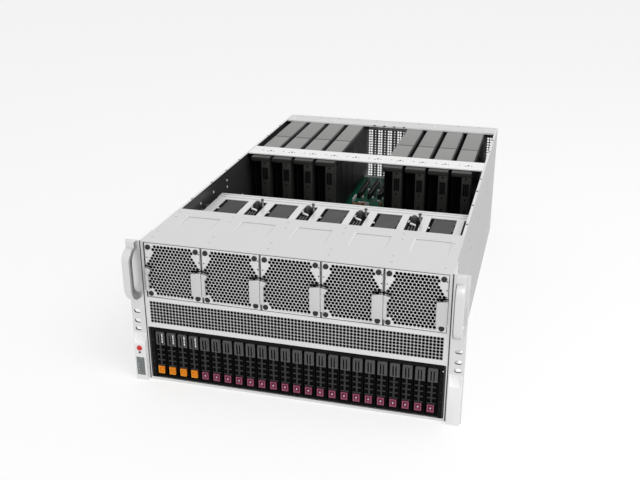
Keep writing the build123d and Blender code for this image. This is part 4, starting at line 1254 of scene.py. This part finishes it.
@dataclass
class FanBay:
    """Laddered sheet behind the cover, with the duct lids, fan connectors and pins."""

    ladder_z: float = 197.5
    sheet_top: float = 196.3
    pitch: float = 85.92
    lid_rear: float = -105.0

    def build(self) -> None:
        """Copies the bay's node, gives its lids their own finish and adds the connectors."""
        bay = BRIGHT_ZINC.soft(Bench.from_node("fan_bay"), 0.2)
        near, far, under = FRONT + 136, self.lid_rear, self.sheet_top + 0.1
        LID_GREY.dress_where(bay, lambda at, normal: near < at.y < far and at.z < under and normal.z > 0.5)
        # The upright faces round the lids are near-black: painted shade in the openings.
        DEEP_BLACK.dress_where(
            bay, lambda at, normal: near < at.y < far and at.z < under and normal.z < 0.5
        )
        CHIP_GREY.dress_where(bay, lambda at, normal: at.z > self.ladder_z + 2.5)
        GREY_AND_SHADE.dress_where(bay, lambda at, normal: at.y > -84.7 and at.z < self.ladder_z - 1.0)
        place(bay, "chassis", "zinc_steel", "fan_bay")
        parts = []
        for index in range(5):
            x = (index - 2) * self.pitch
            if index < 4:
                parts += self._plug(x + 44.6)
            parts += self._lid_marks(x + 2.4)
        fit("fan_connectors", parts + self._channel())

    def _plug(self, x: float) -> list[Piece]:
        """Makes one fan connector with its clip and guide pin.

        Args:
            x: Middle of its opening.

        Returns:
            The pieces.
        """
        z, top = self.ladder_z, self.sheet_top
        cover = Bench.box("plug_cover", (x - 8.8, FRONT + 193, top - 9), (x + 8.8, FRONT + 243, top + 0.25))
        knob = Bench.box("plug_knob", (x - 6.5, FRONT + 224, z - 8), (x + 5.2, FRONT + 250, z + 8.6))
        with Bench.editing(knob):
            Bench.pick(knob, lambda at, _: at.z > z + 8, Pick.VERT)
            bpy.ops.transform.resize(value=(0.72, 0.62, 1.0))
        clip = Bench.box("plug_clip", (x - 4.6, FRONT + 217, z - 1.4), (x + 5.4, FRONT + 221, z + 1.8))
        Bench.drag(clip, lambda at, _: at.x < x, y=3.0, z=1.6)
        pin = Bench.rod("guide_pin", (x + 8.3, FRONT + 239, z + 4.5), 2.0, 14.0, Axis.UP, 16)
        head = Bench.rod("pin_head", (x + 8.3, FRONT + 239, z + 12.0), 2.6, 3.0, Axis.UP, 16)
        latch = ((x - 9.6, FRONT + 232, top - 1), (x - 6.8, FRONT + 240, top + 1.5))
        made = [
            DEEP_BLACK.soft(Bench.sink(cover, Side.TOP, 1.2, 0.2), 0.3),
            SLOT_BLACK.soft(knob, 3.4, 4),
            PALE_MARK.soft(clip, 1.1, 3),
            GREY_AND_SHADE.soft(pin, 0.6, 2),
            CHIP_GREY.soft(head, 0.9, 3),
            BRIGHT_ZINC.block("plug_latch", *latch, 0.5, 2),
        ]
        for shift in (-4.0, 0.5, 5.0):
            wire = Bench.rod("plug_contact", (x + shift, FRONT + 206, top + 0.9), 1.0, 15.0, Axis.DEPTH, 8)
            made.append(CHIP_GREY.soft(wire, 0.2))
        return made

    def _lid_marks(self, x: float) -> list[Piece]:
        """Makes the small catches at a duct lid's sides.

        Args:
            x: Middle of its opening.

        Returns:
            The pieces.
        """
        top = self.sheet_top
        return [
            finish.block(
                name, (x + left, FRONT + near, top + low), (x + right, FRONT + far, top + high), width
            )
            for finish, name, left, near, low, right, far, high, width in (
                (DEEP_BLACK, "lid_catch", 17.4, 199.0, -0.6, 20.3, 202.6, 0.9, 0.3),
                (DEEP_BLACK, "lid_catch", 17.4, 206.0, -0.6, 20.3, 209.6, 0.9, 0.3),
                (DEEP_BLACK, "lid_catch", 17.6, 232.0, -0.6, 20.3, 235.6, 0.9, 0.3),
                (BRIGHT_ZINC, "lid_tongue", -20.1, 215.0, -0.2, -16.8, 220.0, 1.1, 0.3),
                # Near-black strip beside the lid: painted shade in the gap.
                (DEEP_BLACK, "lid_gap_shade", -20.2, 195.3, -3.5, -15.4, 258.7, -2.4, 0.2),
            )
        ]

    def _channel(self) -> list[Piece]:
        """Makes the beads along the rear channel as lines of painted shade, and the hooks at its left end."""
        made = []
        z = self.ladder_z
        for y in (266.2, 276.6):
            low, high = (-203.0, FRONT + y, z + 0.9), (215.0, FRONT + y + 1.4, z + 1.35)
            made.append(FLANGE_SHADE.block("channel_bead", low, high, 0.3, 2))
        for y in (170.0, 186.0, 204.0, 226.0):
            low, high = (-214.5, FRONT + y, z - 8), (-208.5, FRONT + y + 4.5, z - 1)
            made.append((CHIP_GREY if y > 180 else BRIGHT_ZINC).block("wall_hook", low, high, 0.7, 2))
        return made


@dataclass
class CardBanks:
    """Eight double-width accelerator cards with light tops and dark fronts."""

    lefts: tuple[float, ...] = (-204.5, -163.86, -123.22, -82.58, 40.58, 81.22, 121.86, 162.5)
    width: float = 35.0
    front: float = 61.3
    start: float = 81.3
    back: float = 366.3
    low: float = 112.0
    high: float = 220.4
    seam: float = 204.5
    top_right: float = 31.8
    upright_left: float = 18.7

    def build(self) -> None:
        """Builds one card and copies it into the two banks."""
        card = Bench.join("card", [*self._body(), *self._front(), *self._side()])
        for number, left in enumerate(self.lefts, start=1):
            place(
                Bench.copy(card, f"card_{number}", x=left), "chassis", "card_shroud", f"gpu_card_{number}"
            )
        bpy.data.objects.remove(card)

    def _body(self) -> list[Piece]:
        """Makes the dark body, the two light top plates, the rear bracket and the edge fingers."""
        body = Bench.box(
            "card_body", (0.4, self.start, self.low), (self.width - 0.4, self.back, self.high - 1.4)
        )
        with Bench.editing(body):
            Bench.pick(
                body, lambda at, along: abs(along.y) > 0.5 and at.z > self.high - 2 and at.x > 20, Pick.EDGE
            )
            bpy.ops.mesh.bevel(offset=2.4 * MM, segments=2)
        made = [SHROUD_SIDE.soft(body, 0.6, 2)]
        for near, far in ((self.start + 0.2, self.seam - 2.4), (self.seam + 2.4, self.back - 1)):
            low, high = (0.7, near, self.high - 1.9), (self.top_right, far, self.high)
            made.append(SHROUD_TOP.block("card_top", low, high, 0.6, 3))
        low = (0.9, self.seam - 2.8, self.high - 1.8)
        high = (self.top_right, self.seam + 2.8, self.high - 0.35)
        made.append(SEAM_GREY.block("card_seam", low, high, 0.2))
        rear = Bench.box("card_rear", (0, self.back, self.low), (self.width, self.back + 1.0, self.high))
        made.append(TAB_STEEL.soft(Bench.sink(rear, Side.BACK, 2.5, 0.3), 0.15))
        vents = []
        for row in range(11):
            for column in range(4):
                x, z = 6.2 + column * 6.2, self.low + 14 + row * 7.6
                vent = Bench.box("rear_vent", (x, self.back + 0.5, z), (x + 4.2, self.back + 0.78, z + 5.4))
                vents.append(DEEP_BLACK.dress(vent))
        made.append(Bench.soften(Bench.join("rear_vents", vents), 0.1))
        made.append(
            COPPER_BROWN.block("card_fingers", (4.2, 232.0, 101.5), (5.8, 320.0, self.low + 1), 0.2)
        )
        return made

    def _front(self) -> list[Piece]:
        """Makes the support bracket: cap, upright, its square vent and its screw holes."""
        y, start, left, right = self.front, self.start, self.upright_left, self.width - 0.2
        under = self.high - 7.6
        cap = CAP_LIT_GREY.block("card_cap", (0.2, y, self.high - 8.4), (right, start, self.high - 0.6), 0.7, 3)
        # The cap's up-facing faces keep the lighter grey as painted light; its other faces take the darker
        # bracket grey.
        BRACKET_GREY.dress_where(cap, lambda at, normal: normal.z < 0.4)
        holes = []
        for column in range(3):
            for row in range(5):
                x, z = left + 3.2 + column * 3.4, 178.6 + row * 4.3
                holes.append(Bench.box("bracket_vent", (x, y + 0.1, z), (x + 2.2, y + 0.5, z + 3.2)))
        for z in (209.3, 171.0, 149.0, 127.0):
            holes.append(Bench.rod("bracket_hole", (left + 7.6, y + 0.2, z), 1.5, 1.3, Axis.DEPTH, 12))
        return [
            cap,
            BRACKET_GREY.block("card_upright", (left, y + 0.5, self.low), (right, start, under), 0.6, 2),
            SHROUD_SIDE.block(
                "bracket_grille", (left + 2.4, y + 0.25, 177.5), (left + 13, y + 0.7, 200.5), 0.15
            ),
            DEEP_BLACK.soft(Bench.join("bracket_holes", holes), 0.12),
            SHROUD_SIDE.soft(
                Bench.rod("cap_eye", (4.5, y + 0.1, self.high - 5.6), 1.4, 0.5, Axis.DEPTH, 14), 0.15
            ),
            SHROUD_SIDE.block("recess_lip", (0.8, start - 3, self.low + 1), (2.0, start, under), 0.3),
            # Near-black back of the recess beside the upright: painted shade.
            DEEP_BLACK.block(
                "recess_shade", (1.0, start - 0.9, self.low + 1), (left + 0.5, start + 0.1, under), 0.2
            ),
        ]

    def _side(self) -> list[Piece]:
        """Makes the raised panels and screws along the right side."""
        made = []
        x = self.width - 0.5
        for near, far, low, high in (
            (84, 118, 118, 206), (122, 168, 122, 200), (172, 206, 118, 206), (216, 350, 122, 205)
        ):
            panel = Bench.box("side_panel", (x, near, low), (x + 0.45, far, high))
            made.append(SHROUD_SIDE.soft(Bench.sink(panel, Side.RIGHT, 3.0, 0.2), 0.15))
        for y in (95, 160, 228, 300, 345):
            head = Bench.rod("side_head", (x + 0.2, y, 211), 1.4, 0.6, Axis.ACROSS, 10)
            made.append(BRACKET_GREY.soft(head, 0.15))
        return made


@dataclass
class CardBoard:
    """Green board under the cards with its slots, latches and small parts."""

    top: float = 97.0
    slot_top: float = 108.0
    free_slots: tuple[float, ...] = (-36.94, -16.62, 3.70, 24.02)
    slot_front: float = 229.8

    def build(self) -> None:
        """Copies the board's node with black slots and adds its parts."""
        board = ZINC.soft(Bench.from_node("gpu_board", "card_board_dressed"), 0.25)
        BOARD_GREEN.dress_where(board, lambda at, normal: at.z > 94.7)
        SLOT_BLACK.dress_where(board, lambda at, normal: at.z > self.top + 0.3)
        place(board, "chassis", "board_green", "gpu_board")
        parts = []
        for x in self.free_slots:
            parts += self._slot_parts(x)
        for x, y, radius, height in (
            (-28, 178, 3.4, 8), (-19, 181, 3.4, 8), (14, 196, 2.6, 6), (21, 198, 2.6, 6)
        ):
            can = Bench.rod("board_can", (x, y, self.top + height / 2), radius, height, Axis.UP, 18)
            parts.append(COPPER_BROWN.soft(can, 0.6, 2))
        for left, near, right, far, height in (
            (-30, 186, -8, 189.5, 7), (-44, 196, -41.5, 228, 8), (2, 216, 9, 219, 3)
        ):
            strip = Bench.box("board_strip", (left, near, self.top), (right, far, self.top + height))
            parts.append(PALE_MARK.soft(Bench.sink(strip, Side.TOP, 0.7, 1.2), 0.3))
        parts.append(
            COPPER_BROWN.block("board_coil", (-40, 178, self.top), (-32, 186, self.top + 5), 1.0, 3)
        )
        fit("board_parts", parts, "board_green")

    def _slot_parts(self, x: float) -> list[Piece]:
        """Makes the latch, contact rows and small parts of one free slot.

        Args:
            x: Middle of the slot.

        Returns:
            The pieces.
        """
        start, top = self.slot_front, self.top
        made = [
            SLOT_BLACK.block("slot_latch", (x - 2.6, start - 5, top), (x + 2.6, start, top + 12), 0.7, 2)
        ]
        for side, finish in ((-1, CHIP_GREY), (1, IVORY)):
            low = (x + side * 2.6 - 0.25, start + 4, self.slot_top - 0.3)
            made.append(finish.block("slot_contacts", low, (low[0] + 0.5, 318, self.slot_top + 0.15), 0.1))
        for index in range(7):
            low = (x + 7.5 - 1.8 * (index % 2), start + 76 - 15.5 * index, top)
            high = (low[0] + 3.4, low[1] + 5.5, top + 1.6 + index % 3)
            made.append((CHIP_GREY, SLOT_BLACK, PALE_MARK)[index % 3].block("board_chip", low, high, 0.3))
        return made


@dataclass
class RearPanel:
    """Rear panel with fine perforation between the cards, port fronts and screws."""

    pairs: tuple[float, ...] = (-43.94, -23.62, -3.30, 17.02)
    edge_pair: float = 203.7
    column: float = 5.08
    low: float = 99.4
    high: float = 202.0
    rows: int = 19
    slot_pitch: float = 20.32
    flange: float = 45.0

    def build(self) -> None:
        """Copies the panel's node, opens it between the banks and fits the fine sheets."""
        panel = Bench.from_node("rear_panel")
        first, last = self.pairs[0] - self.column, self.pairs[-1] + 2.5 * self.column
        near, far = self.edge_pair - self.column, self.edge_pair + self.column
        for left, right in ((first + 0.1, last), (near, far)):
            cutter = Bench.box("panel_cutter", (left, BACK - 3, self.low), (right, BACK + 2, self.high))
            cut = panel.modifiers.new("opening", "BOOLEAN")
            cut.object = cutter
            cut.operation = "DIFFERENCE"
            cut.solver = "EXACT"
            Bench.focus(panel)
            bpy.ops.object.modifier_apply(modifier=cut.name)
            bpy.data.objects.remove(cutter)
        BRIGHT_ZINC.dress(panel)
        COVER_ZINC.dress_where(panel, lambda at, normal: normal.z > 0.9 and at.z > TOP - 0.2)
        # The inner faces get a light grey as painted light.
        PANEL_INSIDE_LIT.dress_where(panel, lambda at, normal: normal.y < -0.5 and at.y > BACK - 4)
        whole = Bench.join("rear_panel_dressed", [panel, *self._sheets()])
        place(whole, "chassis", "zinc_steel", "rear_panel")
        self._ports()
        self._flange()

    def _sheets(self) -> list[Piece]:
        """Makes the perforated fillings: pairs of open columns with a small single column between."""
        tall = (self.high - self.low) / self.rows
        y, edge, quarter = BACK - 1.2, tall / 2 - 0.05, self.column / 4
        bright = [
            pair + side * self.column / 2 for pair in (*self.pairs, self.edge_pair) for side in (-1, 1)
        ]
        dim = [pair + self.slot_pitch / 2 for pair in self.pairs]
        dim[-1] -= quarter
        made = []
        for name, columns, hole, inside in (
            ("pair", bright, 2.15, PANEL_INSIDE_LIT), ("single", dim, 1.35, PANEL_RIB_SHADE)
        ):
            cell = Bench.holed_cell("panel", 4, tall, hole, 1.2, (0, y, 0))
            with Bench.editing(cell):
                Bench.pick(cell, lambda at, _: max(abs(at.x), abs(at.z)) > edge, Pick.VERT)
                bpy.ops.transform.resize(
                    value=(self.column / tall, 1.0, 1.0), center_override=(0, y * MM, 0)
                )
            spots = [(x, self.low + (row + 0.5) * tall) for x in columns for row in range(self.rows)]
            sheet = BRIGHT_ZINC.dress(Bench.scatter(f"panel_{name}_holes", cell, spots))
            # Inner faces: painted light on the open pairs, painted shade on the small single columns.
            made.append(inside.dress_where(sheet, lambda at, normal: normal.y < 0.5))
        for index, pair in enumerate(self.pairs):
            back_off = quarter if index == len(self.pairs) - 1 else 0.0
            for start in (pair + self.column, pair + self.slot_pitch / 2 + self.column / 2 - back_off):
                low = (start - 0.1, BACK - 1.9, self.low)
                plate = BRIGHT_ZINC.block(
                    "panel_rib", low, (start + self.column / 2 + 0.1, BACK - 0.7, self.high), 0.2
                )
                # Inner faces of the ribs: painted shade.
                made.append(PANEL_RIB_SHADE.dress_where(plate, lambda at, normal: normal.y < 0.5))
        return made

    def _ports(self) -> None:
        """Adds dark sockets behind the port openings and screws round the panel."""
        parts = []
        for x, width, height in (
            (-104, 30, 13), (-66, 16, 13), (-44, 16, 13), (-20, 14, 14), (10, 31, 12), (64, 52, 13)
        ):
            low = (x - width / 2 + 0.5, BACK - 12, 14.5)
            socket = Bench.box("port_socket", low, (x + width / 2 - 0.5, BACK - 0.4, 13.5 + height))
            parts.append(DUCT_BLACK.soft(Bench.sink(socket, Side.BACK, 1.2, 6.0), 0.3, 2))
        for x in (-212, -120, 120, 212):
            for z in (93, 219):
                head = Bench.rod("panel_screw", (x, BACK + 0.2, z), 2.4, 0.8, Axis.DEPTH, 14)
                parts.append(TAB_STEEL.soft(head, 0.3, 2))
        fit("rear_ports", parts)

    def _flange(self) -> None:
        """Adds the beads and dimples of the top flange in painted shade, and its slots, hooks and folded lip.
        """
        parts = []
        for start, end, y in (
            (-205, -60, 14), (-40, 90, 14), (110, 205, 14), (-205, -120, 30), (40, 205, 31)
        ):
            low, high = (start, BACK - y, TOP - 0.3), (end, BACK - y + 1.3, TOP + 0.06)
            parts.append(FLANGE_SHADE.block("flange_bead", low, high, 0.3))
        for index in range(10):
            x = -196 + index * self.slot_pitch * 2 + (8 if index > 4 else 0)
            low, high = (x, BACK - 8, TOP - 0.2), (x + 5, BACK - 6.4, TOP + 0.07)
            parts.append(SHADE_GREY.block("flange_slot", low, high, 0.3))
            dimple = Bench.rod("flange_dimple", (x + 16, BACK - 22, TOP - 0.19), 2.6, 0.5, Axis.UP, 18)
            parts.append(FLANGE_SHADE.soft(Bench.sink(dimple, Side.TOP, 0.9, 0.4), 0.15))
        edge = BACK - self.flange
        for pair in self.pairs:
            x = pair + self.slot_pitch * 0.66
            low, high = (x, edge - 0.4, TOP - 1.4), (x + 5.5, edge + 5, TOP + 0.09)
            parts.append(RIVET_DARK.block("flange_hook", low, high, 0.4, 2))
        for x in (-206, -118, -8, 92, 196):
            low, high = (x, BACK - 30, TOP - 0.3), (x + 3.2, BACK - 17, TOP + 0.08)
            parts.append(GUARD_STEEL.block("flange_tongue", low, high, 0.4, 2))
        parts.append(
            PALE_MARK.block("flange_lip", (-216, edge - 0.2, 219.6), (216, edge + 0.4, TOP - 1.0), 0.15)
        )
        fit("flange_parts", parts)


@dataclass
class PowerSupplies:
    """Four pull-out power supplies with dark fan, inlet and handle."""

    face: float = BACK + 2.0
    fan_shift: float = -18.4

    def build(self) -> None:
        """Copies each supply's node and adds its fan guard."""
        for number in range(1, 5):
            node = f"power_supply_{number}"
            low, high = (corner / MM for corner in map(Vector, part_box(node)))
            case = SUPPLY_CASE.dress(Bench.from_node(node))
            DEEP_BLACK.dress_where(case, lambda at, normal, low=low, high=high: self._inside(at, low, high))
            CARRIER_BLACK.dress_where(case, lambda at, normal: at.y > self.face + 0.2)
            Bench.soften(case, 0.4, 2)
            rings = self._guard((low.x + high.x) / 2 + self.fan_shift, (low.z + high.z) / 2)
            place(Bench.join(f"{node}_dressed", [case, *rings]), node, "supply_case", node)

    def _guard(self, x: float, z: float) -> list[Piece]:
        """Makes a wire guard of three rings and two spokes.

        Args:
            x: Its middle across.
            z: Its height.

        Returns:
            The pieces.
        """
        face = self.face
        middle = (x * MM, (face - 0.6) * MM, z * MM)
        shape = {"minor_radius": 0.45 * MM, "major_segments": 32, "minor_segments": 6}
        made = []
        for radius in (4.0, 8.0, 12.0):
            shape["major_radius"] = radius * MM
            made.append(
                Bench.start("guard_ring", "torus", location=middle, rotation=Axis.DEPTH.value, **shape)
            )
        for wide, tall in ((0.5, 13.8), (13.8, 0.5)):
            spoke = Bench.box(
                "guard_spoke", (x - wide, face - 0.9, z - tall), (x + wide, face - 0.3, z + tall)
            )
            made.append(Bench.soften(spoke, 0.15))
        return [TAB_STEEL.dress(part) for part in made]

    def _inside(self, at: Vector, low: Vector, high: Vector) -> bool:
        """Whether a face's middle lies in the recesses of the rear, inside the case's outline."""
        deep = self.face - 12.5 < at.y < self.face - 0.2
        return deep and low.x + 1 < at.x < high.x - 1 and low.z + 1 < at.z < high.z - 1


@dataclass
class RackEars:
    """Rack ears with handles, moulded bezels, buttons and the status plate."""

    bezel_face: float = FRONT - 6.0
    bezel_top: float = 76.2

    def build(self) -> None:
        """Copies both ears with rounded edges and adds the left bezel's parts."""
        for way, side in ((-1, "left"), (1, "right")):
            node = f"rack_ear_{side}"
            ear = EAR_ALLOY.dress(Bench.soften(Bench.from_node(node), 0.9, 3, 28.0))
            EAR_SHADE.dress_where(
                ear, lambda at, normal, way=way: normal.x * way < -0.6 and at.y < FRONT - 3.0
            )
            BEZEL_WHITE.dress_where(ear, lambda at, normal: at.z < self.bezel_top and at.y < FRONT - 0.1)
            # The rack slots' walls get painted shade.
            HOLE_SHADE.dress_where(ear, self._in_rack_slot)
            # Faces set back in the gap beside the body get dark grey: painted shade.
            SHADE_GREY.dress_where(
                ear, lambda at, normal: abs(at.x) < 220.25 and normal.y < -0.3 and at.y > FRONT + 0.5
            )
            place(ear, "chassis", "ear_alloy", node)
        strips = []
        # Dark strips in the gaps between the ears and the body: painted shadow.
        for x in (-219.4, 219.4):
            low, high = (x - 0.85, FRONT + 0.3, 0.8), (x + 0.85, FRONT + 1.4, 221.6)
            strips.append(SHADE_GREY.block("gap_shadow_strip", low, high, 0.2))
        fit("gap_shadow_strips", strips, "ear_alloy")
        self._status_plate()
        for node, finish, slot in (
            ("id_button", BUTTON_RED, "button_red"),
            ("reset_button", DEEP_BLACK, "button_black"),
        ):
            place(finish.soft(Bench.from_node(node), 0.3, 2), node, slot, node)

    @staticmethod
    def _in_rack_slot(at: Vector, normal: Vector) -> bool:
        """Whether a face is a wall of a rack slot."""
        return abs(normal.y) < 0.3 and at.y > FRONT - 0.1 and 223.5 < abs(at.x) < 240.7 and 5 < at.z < 217

    def _status_plate(self) -> None:
        """Adds the grey status plate with its small lights."""
        y = self.bezel_face
        parts = [
            DISPLAY_GREY.block("status_plate", (-237.6, y - 0.35, 8.0), (-224.9, y + 0.3, 37.8), 0.3, 2)
        ]
        for x, z, finish in (
            (-235.0, 26.6, PALE_MARK),
            (-234.8, 22.2, PALE_MARK),
            (-234.7, 17.0, PALE_MARK),
            (-234.6, 11.9, PALE_MARK),
            (-229.6, 36.2, GREEN_MARK),
        ):
            low, high = (x - 0.8, y - 0.55, z - 0.4), (x + 0.8, y - 0.2, z + 0.4)
            parts.append(finish.block("status_light", low, high, 0.1))
        fit("status_plate", parts, "ear_alloy")


def main() -> None:
    """Builds the studio and every assembly in order."""
    logging.basicConfig(level=logging.INFO, format="%(name)s: %(message)s")
    kinds = (
        Studio, ChassisShell, IntakeGrille, FanModules, DriveBay, FanBay, CardBanks, CardBoard, RearPanel,
        PowerSupplies, RackEars,
    )
    for kind in kinds:
        kind().build()
        log.info("built %s", kind.__name__)


if __name__ == "__main__":
    main()
